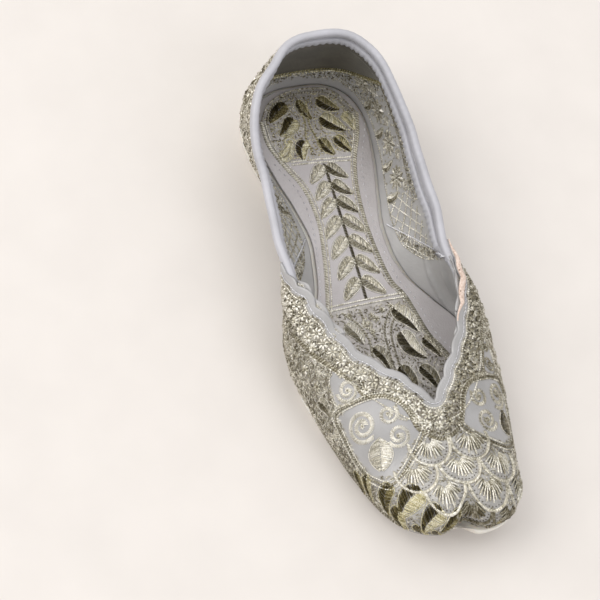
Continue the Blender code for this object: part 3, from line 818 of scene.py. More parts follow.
# Yellower, slightly darker zari: the toe leaves' own thread, and in the heel and the grip also painted shade
# of the heel cup
old_gold_and_shade_thread = metal_thread("old gold zari thread, yellower, in the heel and the toe leaves",
                               (0.05, "#332C17"), (0.30, "#716743"), (0.55, "#ABA177"),
                               (0.80, "#DED6B0"), (1.0, "#FBF7E4"))
silver_thread = metal_thread("silver zari thread", (0.05, "#4B4B4C"), (0.35, "#8F8F92"),
                             (0.65, "#C6C6CA"), (1.0, "#EDEDF2"))


# ---- leather pieces ----

VAMP_THICKNESS = 0.0012
QUARTER_THICKNESS = 0.0010
LINING_THICKNESS = 0.0007
# The lining's inner face, from the outside of the quarters
INSIDE = -(QUARTER_THICKNESS + 0.0001 + LINING_THICKNESS)
EAR_TIP = {-1.0: 0.562, 1.0: 0.548}
QUARTER_FRONT = 0.385
# Where each section of the vamp meets the throat: station at the feather line, share of the
# throat's run from its apex to the ear's tip
VAMP_SECTIONS = ((0.00, 0.0), (0.06, 0.035), (0.14, 0.10), (0.22, 0.20), (0.30, 0.40),
                 (0.36, 0.62), (0.41, 0.86), (LAP_FOOT, 1.0))


def throat_run(side):
    """Stations, shares and arc length along the scalloped edge of the throat, apex to ear tip."""
    tip = EAR_TIP[side]
    station = np.linspace(THROAT[0][0], tip, 1600)
    share = rows(THROAT, 1 if side < 0 else 2, station)
    width = reach_at(station)
    run = along(pairs(share * width, station * LENGTH))
    cut = scallop(run) * ease(0.0, 0.08, share) * (1 - ease(tip - 0.05, tip - 0.02, station))
    share = side * np.maximum(share - cut / width, 0.0)
    return station, share, along(last_point(station, share, 1.0))


def vamp_side(side, count, height):
    """The vamp's grid on one side: places, stations and shares, feather line to throat."""
    foot = side_stations(side, RIM, 3000)
    foot = np.append(foot[foot < LAP_FOOT], LAP_FOOT)
    station, share, run = throat_run(side)
    part = rows(VAMP_SECTIONS, 1, foot) * run[-1]
    end_station, end_share = np.interp(part, run, station), np.interp(part, run, share)
    low = along(last_point(foot, np.full(len(foot), side), 1.0))
    high = along(last_point(end_station, end_share, 1.0))
    measure = 0.45 * low + high + 0.03 * ease(0.0, 0.034, low)
    keep = resample(np.stack([foot, end_station, end_share], axis=1), measure, count)
    place = climb(side, *keep.T)
    lines = np.concatenate([last_point(*place, 1.0), np.stack(place, axis=-1)], axis=2)
    reach = arc_lengths(lines[..., :3])
    return spread_evenly(lines, reach, 0 * reach[:, 0], reach[:, -1], height)


# The vamp's two back edges, under the ears
VAMP_BACKS = [(side, vamp_side(side, 60, 50)[-1, :, :3] - MIDDLE) for side in (-1.0, 1.0)]


def make_vamp(needle):
    """The vamp: one silver leather piece over the toe, cut to a scalloped throat and two ears."""
    grid = np.concatenate([vamp_side(-1.0, 200, 56)[:0:-1], vamp_side(1.0, 200, 56)])
    u, v = vamp_place(grid[..., 3], grid[..., 4])
    # The skirt, drawn down over the sole's edge
    skirt = hang(grid[:, 0, :3], 6)
    drop = np.linalg.norm(skirt - grid[:, :1, :3], axis=2)
    outward = np.where(grid[:, :1, 4] < 0, -1.0, 1.0)
    u = np.concatenate([np.repeat(u[:, :1], 6, axis=1), u], axis=1)
    v = np.concatenate([v[:, :1] + outward * drop, v], axis=1)
    outside = np.concatenate([skirt, grid[..., :3]], axis=1) - MIDDLE
    piece = leather("vamp", outside, outside - grid_normals(outside) * VAMP_THICKNESS, vamp_leather,
                    False, needle.cover_at(u, v))
    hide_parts("upper")


def wall_piece(name, ends, counts, low, high, faces, material, needle=None, ring=False):
    """A sheet on the wall's chart between two places along it and its lower and upper edge; faces
    gives the lifts of its two faces from the wall."""
    u = np.linspace(*ends, counts[0])[:, None] * np.ones((1, counts[1]))
    share = np.linspace(0.0, 1.0, counts[1])[None, :]
    v = low(u) * (1 - share) + high(u) * share
    sheet = slice(None, -1) if ring else slice(None)
    lifts = [lift(u, v, share) if callable(lift) else lift for lift in faces]
    first, second = (wall_chart.at(u, v, lift)[sheet] for lift in lifts)
    cover = needle.cover_at(u[sheet], v[sheet]) if needle else None
    return leather(name, first, second, material, ring, cover)


def topline(u):
    """The upper edge of the wall on its chart."""
    return wall_chart.edges(u)[1]


def make_quarters(needle):
    """The quarters: silver leather round the heel, lapped by the vamp in front."""
    ends = wall_u(-1.0, QUARTER_FRONT), wall_u(1.0, QUARTER_FRONT)
    piece = wall_piece("quarters", ends, (380, 40), lambda u: 0 * u, lambda u: topline(u) - 0.0002,
                       (0.0, -QUARTER_THICKNESS), vamp_leather, needle)
    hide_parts("upper")


# Soft folds of the lining ahead of its embroidered part: side, two ends as places along the
# shoe and up the wall, width and height, all in millimetres
LINING_FOLDS = ((1.0, (-22, 3), (6, 27), 3.4, 2.4), (1.0, (-12, 1), (14, 18), 2.6, 1.6),
                (1.0, (-34, 4), (-6, 27), 3.4, 2.0), (-1.0, (-20, 3), (8, 27), 2.4, 1.3),
                (-1.0, (-8, 2), (14, 20), 1.8, 0.8))


def lining_folds(u, v):
    """How far the lining stands in along its folds."""
    rise = np.zeros(u.shape)
    for side, low, high, width, height in LINING_FOLDS:
        a, b = (np.array(wall_place(side, *end)) for end in (low, high))
        length = np.linalg.norm(b - a)
        way = (b - a) / length
        run = ((u * 1000 - a[0]) * way[0] + (v * 1000 - a[1]) * way[1]) / length
        off = (v * 1000 - a[1]) * way[0] - (u * 1000 - a[0]) * way[1] - 1.6 * np.sin(2.6 * run)
        rise += (height / 1000 * ease(-0.1, 0.4, run) * (1 - ease(0.7, 1.15, run))
                 * np.exp(-(off / (0.5 * width)) ** 2))
    return rise


def make_lining(needle):
    """One lining right round inside the shoe, with a few soft folds by the ears."""
    ends = wall_chart.start, wall_chart.start + CHART_PITCH * (len(wall_foot) - 1)
    piece = wall_piece("lining", ends, (560, 44), lambda u: 0 * u + 0.0004,
                       lambda u: topline(u) - 0.0011 * ease(wall_u(1.0, 0.62), wall_u(1.0, 0.56), np.abs(u)),
                       (INSIDE + LINING_THICKNESS, lambda u, v, share: INSIDE - lining_folds(u, v)),
                       lining_leather_painted_lighter, needle, ring=True)
    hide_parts("upper")


FACING_HEIGHT = 0.0058


def under_ear(u):
    """0 along the collar, rising to 1 where it runs on down inside the ears."""
    return ease(wall_u(1.0, 0.56), wall_u(1.0, 0.51), np.abs(u))


def facing_puff(u, v, share):
    """Lift of the collar facing's soft face, drawn in at each stitch, 3.4 mm apart."""
    puff = 0.0020 * np.sin(math.pi * np.clip(share + 0.03, 0.0, 1.0)) ** 0.45
    puff = puff * (1 + 0.22 * np.sin(u / 0.0034 * 2 * math.pi) * (1 - share)) * (1 - 0.5 * under_ear(u))
    return INSIDE - 0.0001 - puff


def make_facing():
    """The inner band of the collar, sewn to the lining along a wavy lower edge."""
    wall_piece("collar_facing", (wall_u(-1.0, 0.49), wall_u(1.0, 0.42)), (700, 14),
               lambda u: topline(u) - FACING_HEIGHT + 0.0006 * np.abs(np.sin(u / 0.0105 * math.pi)),
               lambda u: topline(u) + 0.0006 - 0.0022 * under_ear(u),
               (facing_puff, INSIDE + 0.0002), binding_leather)


GRIP_REACH = 0.052
GRIP_THICKNESS = 0.0006


def grip_edge(u):
    """Lower edge of the heel grip on the wall's chart."""
    low = 0.0125 + 0.0360 * (np.abs(u) / GRIP_REACH) ** 2.5
    return np.minimum(low, topline(u) - 0.0012)


def make_heel_grip():
    """A half-moon of suede inside the back of the heel, up to the collar's roll."""
    wall_piece("heel_grip", (-GRIP_REACH, GRIP_REACH), (140, 30), grip_edge, lambda u: topline(u) - 0.0006,
               (INSIDE - GRIP_THICKNESS, INSIDE + 0.0001), grip_suede_painted_shade)


CORDED_WIDTH = 0.0042
CORDED_HEIGHT = 0.0058


def roll_path(side):
    """Centre line of the topline roll on one side, with the wall's outward and upward directions."""
    foot = side_stations(side, RIM, 900)
    foot = foot[foot > ROLL_FRONT]
    station = rows(SECTION_PLANES, 1, foot)
    edge = rows(TOPLINE, 1, station) - ROLL_HEIGHT - GAP
    low_station, low_share = section_reaches(side, foot, edge)
    high_station, high_share = section_reaches(side, foot, edge + ROLL_HEIGHT)
    low = last_point(low_station, low_share)
    upward = unit(last_point(high_station, high_share) - low)
    run = np.gradient(low, axis=0)
    outward = unit(np.cross(run, upward) * side)
    upward = unit(np.cross(outward, run) * side)
    middle = low + upward * (GAP + 0.5 * ROLL_HEIGHT + 0.0009) - outward * 0.35 * WALL
    return np.concatenate([middle - MIDDLE, outward, upward], axis=1)


def make_binding():
    """Binding leather turned over a cord and sewn round the topline as a soft roll."""
    path = np.concatenate([roll_path(1.0)[:-1], roll_path(-1.0)[::-1]])
    measure = along(path[:, :3])
    path = soften(resample(path, measure, 520))
    run = np.linspace(0.0, measure[-1], 520)[:, None]
    turn = np.linspace(0.0, 2 * math.pi, 20, endpoint=False)[None, :]
    # The roll draws in a little at each stitch, 3.4 mm apart, and wanders over longer runs
    pinch = 1 - 0.035 * np.abs(np.cos(run / 0.0034 * math.pi)) ** 6 + 0.03 * np.sin(run / 0.031)
    across, above = (0.5 * size * np.sign(wave) * np.abs(wave) ** 0.85 * pinch for size, wave in
                     ((CORDED_WIDTH, np.cos(turn)), (CORDED_HEIGHT, np.sin(turn))))
    piece = tube("topline_roll", *np.split(path, 3, axis=1), across, above, binding_leather,
                 "binding_leather")
    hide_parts("topline_binding")


def make_ear_edge():
    """The thick cut edge of the vamp's outer ear, left raw, between the throat and the collar."""
    station, share, run = throat_run(1.0)
    part = np.linspace(0.47, 1.0, 120) * run[-1]
    edge_station, edge_share = np.interp(part, run, station), np.interp(part, run, share)
    line, low = (last_point(edge_station, value, 1.0) - MIDDLE
                 for value in (edge_share, edge_share * 1.03 + 0.01))
    down = unit(low - line)
    inward = unit(np.cross(np.gradient(line, axis=0), down))
    if inward[60, 0] > 0:
        inward = -inward
    turn = np.linspace(0.0, 2 * math.pi, 14, endpoint=False)[None, :]
    place = np.linspace(0.0, 1.0, 120)[:, None]
    grow = 0.2 + 0.8 * ease(0.0, 0.4, place) * (1 - 0.8 * ease(0.8, 1.0, place))
    across = (0.0010 * np.cos(turn) - 0.0003) * grow
    above = (0.0021 * np.sin(turn) + 0.0011) * grow
    tube("ear_cut_edge", line, inward, down, across, above, cut_edge, "upper_leather")


def make_sock(needle):
    """The sock glued on the insole board: a plain margin round an embroidered panel."""
    stations = side_stations(1.0, 0.0, 240)
    inset = RIM + WALL + 3 * GAP

    def above(lift):
        return lambda *place: height_at(SOLE_TOP, place[-1]) + GAP + lift

    bevel = ((SOCK_EDGE, SOCK_THICKNESS), (0.3 * SOCK_EDGE, SOCK_THICKNESS - 0.3 * SOCK_EDGE),
             (0.0, SOCK_THICKNESS - SOCK_EDGE), (0.0, SOCK_EDGE), (SOCK_EDGE, 0.0))
    rings = [edge_ring(stations, inset + draw_in, above(lift), SOCK_TOE_EASE, SOCK_CLEFT_SPREAD)
             for draw_in, lift in bevel]
    points, faces = slab(rings, 60, above(0.0), above(SOCK_THICKNESS))
    piece = make_piece("sock", points - MIDDLE, faces, sock_leather,
                       {"cover": needle.cover_at(points[:, 1], points[:, 0])})
    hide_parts("insole")


DIMPLE_PITCH = 0.0078
DIMPLE_DEPTH = 0.0011


def tread(x, y):
    """Underside of the sole with staggered diamond dimples under the ball and the heel."""
    station = y / LENGTH + 0.5
    front = 1 - ease(TREAD_END - 0.045, TREAD_END - 0.035, station)
    heel = ease(HEEL_BREAST + 0.035, HEEL_BREAST + 0.045, station)
    a = (x + y * 0.8) / DIMPLE_PITCH
    b = (x - y * 0.8) / DIMPLE_PITCH
    near = np.maximum(np.abs(a - np.round(a)), np.abs(b - np.round(b)))
    dimple = DIMPLE_DEPTH * (1 - ease(0.24, 0.36, near))
    lines = 0.0
    for place in (TREAD_END - 0.032, TREAD_END - 0.022, HEEL_BREAST + 0.024, HEEL_BREAST + 0.032):
        lines = lines + 0.0006 * np.exp(-((station - place) * LENGTH / 0.0006) ** 2)
    return height_at(SOLE_UNDERSIDE, y) + dimple * np.maximum(front, heel) + lines


def frame_groove(y):
    """The groove that frames the tread fields, absent under the arch."""
    station = y / LENGTH + 0.5
    front = 1 - ease(TREAD_END - 0.02, TREAD_END - 0.01, station)
    back = ease(HEEL_BREAST + 0.01, HEEL_BREAST + 0.02, station)
    return height_at(SOLE_UNDERSIDE, y) + GROOVE_DEPTH * np.maximum(front, back)


def sole_ring(stations, inset, height):
    """A ring round the sole, which is trimmed back under the inner toe and hardly cleft."""
    return edge_ring(stations, inset, height, trim=SOLE_TRIM, depth=SOLE_CLEFT)


def make_sole():
    """The moulded outsole: rounded edge, smooth rim, framing groove and dimpled tread."""
    stations = side_stations(1.0, 0.0, 300)
    corner = np.radians((0.0, 22.5, 45.0, 67.5, 90.0))
    rings = []
    for turns, table, sign in ((corner[::-1], SOLE_TOP, -1), (corner, SOLE_UNDERSIDE, 1)):
        for turn in turns:
            rings.append(sole_ring(stations, EDGE_ROUND * (1 - math.cos(turn)), lambda y:
                                   height_at(table, y) + sign * EDGE_ROUND * (1 - math.sin(turn))))
    for share, height in ((0.0, lambda y: height_at(SOLE_UNDERSIDE, y)), (0.3, frame_groove),
                          (0.7, frame_groove), (1.0, lambda y: height_at(SOLE_UNDERSIDE, y))):
        rings.append(sole_ring(stations, RIM_BAND + share * GROOVE_WIDTH, height))
    points, faces = slab(rings, 90, tread, lambda x, y: height_at(SOLE_TOP, y))
    piece = make_piece("sole", points - MIDDLE, faces, sole_rubber)
    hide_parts("outsole")


# ---- embroidery: drawing the stitches on the charts, in millimetres ----

CELL = 0.5
# Where a scale of the toe faces, and how far its arch and its rays spread to each side, in degrees
SCALE_FACING, ARCH_SPREAD, RAY_SPREAD = -90.0, 104.0, 84.0


def curve(points, pitch, closed=False):
    """A smooth line through points, its places evenly spaced, with directions along it."""
    p = np.asarray(points, float)
    ends = (p[-1:], p[:1], p[1:2]) if closed else (2 * p[:1] - p[1:2], 2 * p[-1:] - p[-2:-1])
    p = np.concatenate([ends[0], p, *ends[1:]])
    t = np.linspace(0.0, 1.0, 12, endpoint=False)[:, None]
    line = [0.5 * (2 * b + (c - a) * t + (2 * a - 5 * b + 4 * c - d) * t ** 2
                   + (3 * b - a - 3 * c + d) * t ** 3) for a, b, c, d in zip(p, p[1:], p[2:], p[3:])]
    line = np.concatenate([*line, p[-2:-1]])
    run = along(line)
    line = resample(line, run, max(int(round(run[-1] / pitch)) + 1, 3))
    return line, unit(np.gradient(line, axis=0))


def turned(direction):
    """Directions a quarter turn to the left."""
    return np.stack([-direction[..., 1], direction[..., 0]], axis=-1)


def heading(turn):
    """Directions from angles."""
    return np.stack([np.cos(turn), np.sin(turn)], axis=-1)


def in_outline(outline, points):
    """Which points lie inside a closed outline."""
    inside = np.zeros(len(points), bool)
    x, y = points[:, 0], points[:, 1]
    p = np.asarray(outline, float)
    for (x0, y0), (x1, y1) in zip(p, np.roll(p, -1, axis=0)):
        cross = (y0 > y) != (y1 > y)
        at_x = x0 + (y - y0) * (x1 - x0) / (y1 - y0 if y1 != y0 else 1e-9)
        inside ^= cross & (x < at_x)
    return inside


class Needlework:
    """Stitches drawn on one chart, x across and y along it unless along_first is set."""

    def __init__(self, chart, x_span, y_span, along_first=False, base=0.0, out=1.0):
        """A raster over a span of the chart; base and out say from which face the stitches rise."""
        self.chart, self.along_first, self.base, self.out = chart, along_first, base, out
        self.x0, self.y0 = x_span[0], y_span[0]
        size = (int((y_span[1] - y_span[0]) / CELL) + 1, int((x_span[1] - x_span[0]) / CELL) + 1)
        self.taken = np.zeros(size, bool)
        self.bed = np.zeros(size)
        self.layers = {}

    def layer(self, name):
        """The layer that the next stitches join."""
        self.current = self.layers.setdefault(name, [])

    def place(self, points, lift):
        """Places in the shoe of chart points, lifted off the leather."""
        x, y = points[:, 0] / 1000, points[:, 1] / 1000
        lift = self.base + self.out * lift / 1000
        return self.chart.at(x, y, lift) if self.along_first else self.chart.at(y, x, lift)

    def cells(self, points):
        """Raster rows and columns of chart points."""
        row = ((points[:, 1] - self.y0) / CELL).astype(int)
        column = ((points[:, 0] - self.x0) / CELL).astype(int)
        keep = (row >= 0) & (column >= 0) & (row < self.taken.shape[0]) & (column < self.taken.shape[1])
        return row, column, keep

    def mark(self, points, radius):
        """Keep filling stitches off the places that a motif has taken."""
        reach = int(math.ceil(radius / CELL))
        for i in range(-reach, reach + 1):
            for j in range(-reach, reach + 1):
                if (i * i + j * j) * CELL * CELL <= radius * radius + 0.01:
                    row, column, keep = self.cells(points + [j * CELL, i * CELL])
                    self.taken[row[keep], column[keep]] = True

    def free(self, points):
        """Which points no motif has taken."""
        row, column, keep = self.cells(points)
        out = np.zeros(len(points), bool)
        out[keep] = ~self.taken[row[keep], column[keep]]
        return out

    def on_leather(self, points):
        """Which points lie on the sheet, a little in from its edges."""
        if not hasattr(self.chart, "edges"):
            return np.ones(len(points), bool)
        u, v = (points if self.along_first else points[:, ::-1]).T
        low, high = self.chart.edges(u / 1000)
        return (v > low * 1000 + 0.5) & (v < high * 1000 - 0.3) & ~self.past_ear(points)

    def past_ear(self, points):
        """Which points of the vamp's chart lie behind its back edges, where its leather ends."""
        gone = np.zeros(len(points), bool)
        if self.chart is vamp_chart:
            place = self.place(points, np.zeros(len(points)))
            for side, edge in VAMP_BACKS:
                limit = np.interp(place[:, 2], edge[:, 2], edge[:, 1])
                gone |= (place[:, 0] * side > 0) & (place[:, 1] > limit - 0.0008)
        return gone

    def raster(self):
        """The middle of every raster cell."""
        y, x = np.mgrid[0:self.bed.shape[0], 0:self.bed.shape[1]]
        return pairs(self.x0 + CELL * x.ravel(), self.y0 + CELL * y.ravel())

    def everywhere(self, pitch):
        """Scattered places about a pitch apart over the whole chart."""
        y = self.y0 + CELL * np.arange(0, self.taken.shape[0] - 1, pitch / CELL)
        x = self.x0 + CELL * np.arange(0, self.taken.shape[1] - 1, pitch / CELL)
        places = pairs(*(part.ravel() for part in np.meshgrid(x, y)))
        return places + chance.uniform(-0.42, 0.42, places.shape) * pitch

    def cover_at(self, u, v):
        """How far thread covers the leather at chart places in metres, 0 to 1."""
        x, y = (u, v) if self.along_first else (v, u)
        points = pairs(np.ravel(x), np.ravel(y)) * 1000
        row, column, keep = self.cells(points)
        out = np.zeros(len(points))
        out[keep] = self.bed[row[keep], column[keep]]
        return out.reshape(np.shape(u))

    def lay_bed(self, outline=None, level=1.0, where=None):
        """Underlay stitching inside an outline, or where a test on places holds."""
        points = self.raster()
        inside = in_outline(outline, points) if where is None else where(points)
        self.bed[inside.reshape(self.bed.shape)] = level

    def sew(self, start, end, width, rise, tone, keep=None):
        """Straight stitches from start to end; tone 0 is the darkest and 1 is the brightest, partly the
        thread's own tarnish and partly painted highlight and painted shade.
        """
        looks = [np.broadcast_to(np.asarray(value, float), len(start)) for value in (width, rise, tone)]
        stitches = np.concatenate([start, end, np.stack(looks, axis=1)], axis=1)
        self.current.append(stitches if keep is None else stitches[keep])

    def rope(self, points, width, pitch, lean, tone, thread=0.62, closed=False, stripe=0.25):
        """A cord of slanted stitches that cover a line."""
        line, ahead = curve(points, pitch, closed)
        side = turned(ahead) * width * 0.5
        slant = ahead * width * 0.5 * lean
        shade = tone + stripe * (np.arange(len(line)) % 2 - 0.5) + chance.uniform(-0.12, 0.12, len(line))
        self.sew(line - side - slant, line + side + slant, thread, 0.45, shade)
        self.mark(line, 0.5 * width + 0.35)

    def beads(self, points, pitch, size, tone, closed=False):
        """A row of round knots along a line."""
        line, ahead = curve(points, pitch, closed)
        half = ahead * 0.32
        self.sew(line - half, line + half, size, 0.55, tone + chance.uniform(-0.25, 0.2, len(line)))
        self.mark(line, 0.5 * size + 0.3)

    def run(self, points, pitch, length, width, tone, rise=0.3, mark=True):
        """Running stitches along a line."""
        line, ahead = curve(points, pitch)
        half = ahead * length * 0.5
        self.sew(line - half, line + half, width, rise, tone + chance.uniform(-0.12, 0.12, len(line)))
        if mark:
            self.mark(line, 0.5)

    def satin(self, spine, width, tone, pitch=0.5, lean=0.55, outline=True, edge_tone=0.85):
        """A leaf filled with satin stitches from its spine to both edges, in two tones."""
        line, ahead = curve(spine, pitch)
        share = np.linspace(0.0, 1.0, len(line))
        half = 0.5 * width * np.sin(math.pi * share ** 0.8) ** 0.75
        side = turned(ahead)
        for sign, shade in ((1.0, tone[0]), (-1.0, tone[1])):
            loose = chance.uniform(-0.2, 0.2, (2, len(line), 2))
            start = line + side * sign * 0.12 + loose[0]
            end = line + side * sign * half[:, None] - ahead * (lean * half)[:, None] + loose[1]
            wobble = shade + chance.uniform(-0.16, 0.14, len(line))
            self.sew(start, end, 0.66, chance.uniform(0.4, 0.75, len(line)), wobble, half > 0.35)
            if outline:
                edge = line + side * sign * (half + 0.45)[:, None] - ahead * (lean * half)[:, None]
                self.run(edge[::3] if len(edge) > 9 else edge, 0.85, 0.8, 0.5, edge_tone)
        for step in np.linspace(-1.0, 1.0, 9):
            self.mark(line + side * (step * (half + 0.3))[:, None]
                      - ahead * (abs(step) * lean * half)[:, None], 0.6)

    def rosette(self, x, y, radius, tone, heart, count=7):
        """A round flower of radial stitches with a knot at its heart."""
        ray = heading(np.linspace(0.0, 2 * math.pi, count, endpoint=False) + chance.uniform(0, 1))
        middle = np.array([[x, y]])
        self.sew(middle + ray * radius * 0.42, middle + ray * radius * 0.95,
                 1.45 if radius > 1.9 else 0.95, 0.7, tone + chance.uniform(-0.3, 0.12, count))
        self.sew(middle - [[0.25, 0.0]], middle + [[0.25, 0.0]], 0.9, 0.7, heart)
        self.mark(middle, radius + 0.4)

    def spiral(self, x, y, radius, start, turns, hand, tone, width=1.1, hub=0.32):
        """A scroll that winds in to its heart from an angle in degrees."""
        share = np.linspace(0.0, 1.0, 26)
        reach = radius * (1 - share * (1 - hub))
        path = (x, y) + reach[:, None] * heading(math.radians(start) + hand * share * turns * 2 * math.pi)
        self.rope(path, width, 0.7, 0.55, tone, 0.7, stripe=0.15)
        self.rosette(x, y, radius * hub * 0.62, tone, 0.5, 6)

    def fan(self, x, y, radius, clear, tone):
        """A scale of the toe: a corded arch over a fan of satin rays.  clear holds the circles
        of the next row, which lie over this one."""
        def outside(points):
            keep = np.ones(len(points), bool)
            for cx, cy, r in clear:
                keep &= np.hypot(points[:, 0] - cx, points[:, 1] - cy) > r
            return keep

        def arc(reach, spread, count):
            turn = np.linspace(SCALE_FACING - spread, SCALE_FACING + spread, count)
            return (x, y) + reach * radius * heading(np.radians(turn))

        line, ahead = curve(arc(1.0, ARCH_SPREAD, 40), 0.6)
        side = turned(ahead) * 0.6
        self.sew(line - side - ahead * 0.5, line + side + ahead * 0.5, 0.9, 0.85,
                 tone - 0.05 + chance.uniform(-0.2, 0.1, len(line)), outside(line))
        self.mark(line[outside(line)], 0.9)
        # Satin rays from a hub under the row above, spread to needle pricks inside the arch; the pricks are
        # dark stubs of thread, painted shade in the needle holes
        base = np.array([[x, y + 0.42 * radius]])
        count = 12
        way = arc(0.72, RAY_SPREAD, count) - base
        for low, high, width in ((0.34, 1.0, 1.15), (0.30, 0.86, 0.8), (0.28, 0.6, 1.0)):
            long = (1 - 0.10 * (np.arange(count) % 2) + chance.uniform(-0.05, 0.05, count))[:, None]
            start = base + way * low + chance.uniform(-0.25, 0.25, (count, 2))
            end = base + way * high * long + chance.uniform(-0.25, 0.25, (count, 2))
            keep = outside(end)
            start = np.where(outside(start)[:, None], start, 0.5 * (start + end))
            self.sew(start, end, width, 0.85, tone + chance.uniform(-0.4, 0.1, count), keep)
            for share in (0.0, 0.35, 0.7, 1.0):
                self.mark((start * (1 - share) + end * share)[keep], 0.8)
        # Painted shade: near-black stubs in the needle holes
        pricks = arc(0.83, RAY_SPREAD, 15)
        self.sew(pricks - [0.2, 0], pricks + [0.2, 0], 0.5, 0.3, 0.05, outside(pricks))
        for reach in (0.78, 0.86):
            rim = arc(reach, ARCH_SPREAD, 40)
            self.mark(rim[outside(rim)], 0.7)

    def fill(self, where, pitch, length=(1.1, 1.9), tone=(0.3, 1.0)):
        """Seed stitches strewn over the free places where a test holds."""
        p = self.everywhere(pitch)
        p = p[where(p) & self.free(p)]
        way = heading(chance.uniform(0, math.pi, len(p))) * 0.5 * chance.uniform(*length, len(p))[:, None]
        self.sew(p - way, p + way, 0.6, 0.35, chance.uniform(*tone, len(p)))

    def lattice(self, where, cell, slope, tones, width):
        """Two sets of crossing lines of running stitches."""
        size = CELL * np.array(self.bed.shape[::-1])
        middle, reach = (self.x0, self.y0) + 0.5 * size, size.sum()
        for hand, tone in ((1.0, tones[0]), (-1.0, tones[1])):
            way = np.array([1.0, hand * slope]) / math.hypot(1.0, slope)
            count = int(reach / cell)
            for k in range(-count, count):
                line = middle + turned(way) * k * cell + way * np.arange(-reach, reach, 1.5)[:, None]
                line = line[where(line) & self.free(line)]
                if len(line):
                    self.sew(line - way * 0.62, line + way * 0.62, width, 0.35,
                             tone + chance.uniform(-0.12, 0.12, len(line)))


# ---- sewing: stitches as threads in the shoe ----


def stitch_tree():
    """Geometry nodes that turn stitch centre lines into closed threads."""
    tree = bpy.data.node_groups.new("sewn stitches", "GeometryNodeTree")
    sockets = [tree.interface.new_socket(name, in_out="INPUT", socket_type=kind) for name, kind in
               (("Stitch lines", "NodeSocketGeometry"), ("Thread sides", "NodeSocketInt"),
                ("Thread scale", "NodeSocketFloat"), ("Thread", "NodeSocketMaterial"))]
    tree.interface.new_socket("Threads", in_out="OUTPUT", socket_type="NodeSocketGeometry")
    given = add(tree, "NodeGroupInput").outputs
    thick = add(tree, "GeometryNodeInputNamedAttribute", {"Name": "thick"}, data_type="FLOAT")
    size = add(tree, "ShaderNodeMath",
               {0: thick.outputs["Attribute"], 1: given["Thread scale"]}, operation="MULTIPLY")
    lines = add(tree, "GeometryNodeMeshToCurve", {"Mesh": given["Stitch lines"]})
    section = add(tree, "GeometryNodeCurvePrimitiveCircle",
                  {"Resolution": given["Thread sides"], "Radius": 0.5})
    body = add(tree, "GeometryNodeCurveToMesh",
               {"Curve": lines, "Profile Curve": section, "Scale": size, "Fill Caps": True})
    smooth = add(tree, "GeometryNodeSetShadeSmooth", {"Geometry": body, "Shade Smooth": True})
    whole = add(tree, "GeometryNodeRealizeInstances", {"Geometry": smooth})
    dressed = add(tree, "GeometryNodeSetMaterial", {"Geometry": whole, "Material": given["Thread"]})
    add(tree, "NodeGroupOutput", {"Threads": dressed})
    return tree, [socket.identifier for socket in sockets]


sewn, sewn_inputs = stitch_tree()
# How far a stitch's two ends stand off the leather, in millimetres; a thread's sides and its
# scale; the most stitches of one piece
END_LIFT = 0.02
THREAD_SIDES = 3
THREAD_SCALE = 1.0
MOST_STITCHES = 13500


def sew_layer(name, needle, layer, material):
    """The stitches of one layer as thread pieces."""
    stitches = np.concatenate(needle.layers[layer])
    stitches = stitches[needle.on_leather(stitches[:, 0:2]) & needle.on_leather(stitches[:, 2:4])]
    parts = int(math.ceil(len(stitches) / MOST_STITCHES))
    for k, part in enumerate(np.array_split(stitches, parts)):
        start, end, (width, rise, tone) = part[:, 0:2], part[:, 2:4], part[:, 4:].T
        low = np.full(len(part), END_LIFT)
        places = np.stack([needle.place(start, low), needle.place(0.5 * (start + end), rise),
                           needle.place(end, low)], axis=1).reshape(-1, 3)
        first = 3 * np.arange(len(part))
        edges = np.concatenate([pairs(first, first + 1), pairs(first + 1, first + 2)])
        mesh = bpy.data.meshes.new("stitch lines")
        mesh.from_pydata(places.tolist(), edges.tolist(), [])
        mark_points(mesh, {"thick": np.repeat(width / 1000, 3),
                           "tone": np.repeat(np.clip(tone, 0.0, 1.0), 3)})
        lines = put("stitch lines", mesh)
        modifier = lines.modifiers.new("sewing", "NODES")
        modifier.node_group = sewn
        for key, value in zip(sewn_inputs[1:], (THREAD_SIDES, THREAD_SCALE, material)):
            modifier[key] = value
        bpy.context.view_layer.update()
        seen = lines.evaluated_get(bpy.context.evaluated_depsgraph_get())
        threads = bpy.data.meshes.new_from_object(seen)
        bpy.data.objects.remove(lines)
        add_piece(name if parts == 1 else f"{name}_{k + 1}", threads)


# ---- the vamp's embroidery ----


def throat_edge_line():
    """The throat's cut edge on the vamp's chart, inner ear to apex to outer ear."""
    sides = []
    for side in (-1.0, 1.0):
        station, share, run = throat_run(side)
        even = np.linspace(0.0, run[-1], 120)
        u, v = vamp_place(np.interp(even, run, station), np.interp(even, run, share))
        sides.append(pairs(v, u) * 1000)
    return np.concatenate([sides[0][:0:-1], sides[1]])


def offset_line(line, distance):
    """A line beside a line, corners rounded."""
    soft = soften(line)
    return soft + turned(unit(np.gradient(soft, axis=0))) * distance


# Distance between the motifs of the scrollwork
MOTIF_PITCH = 8.5


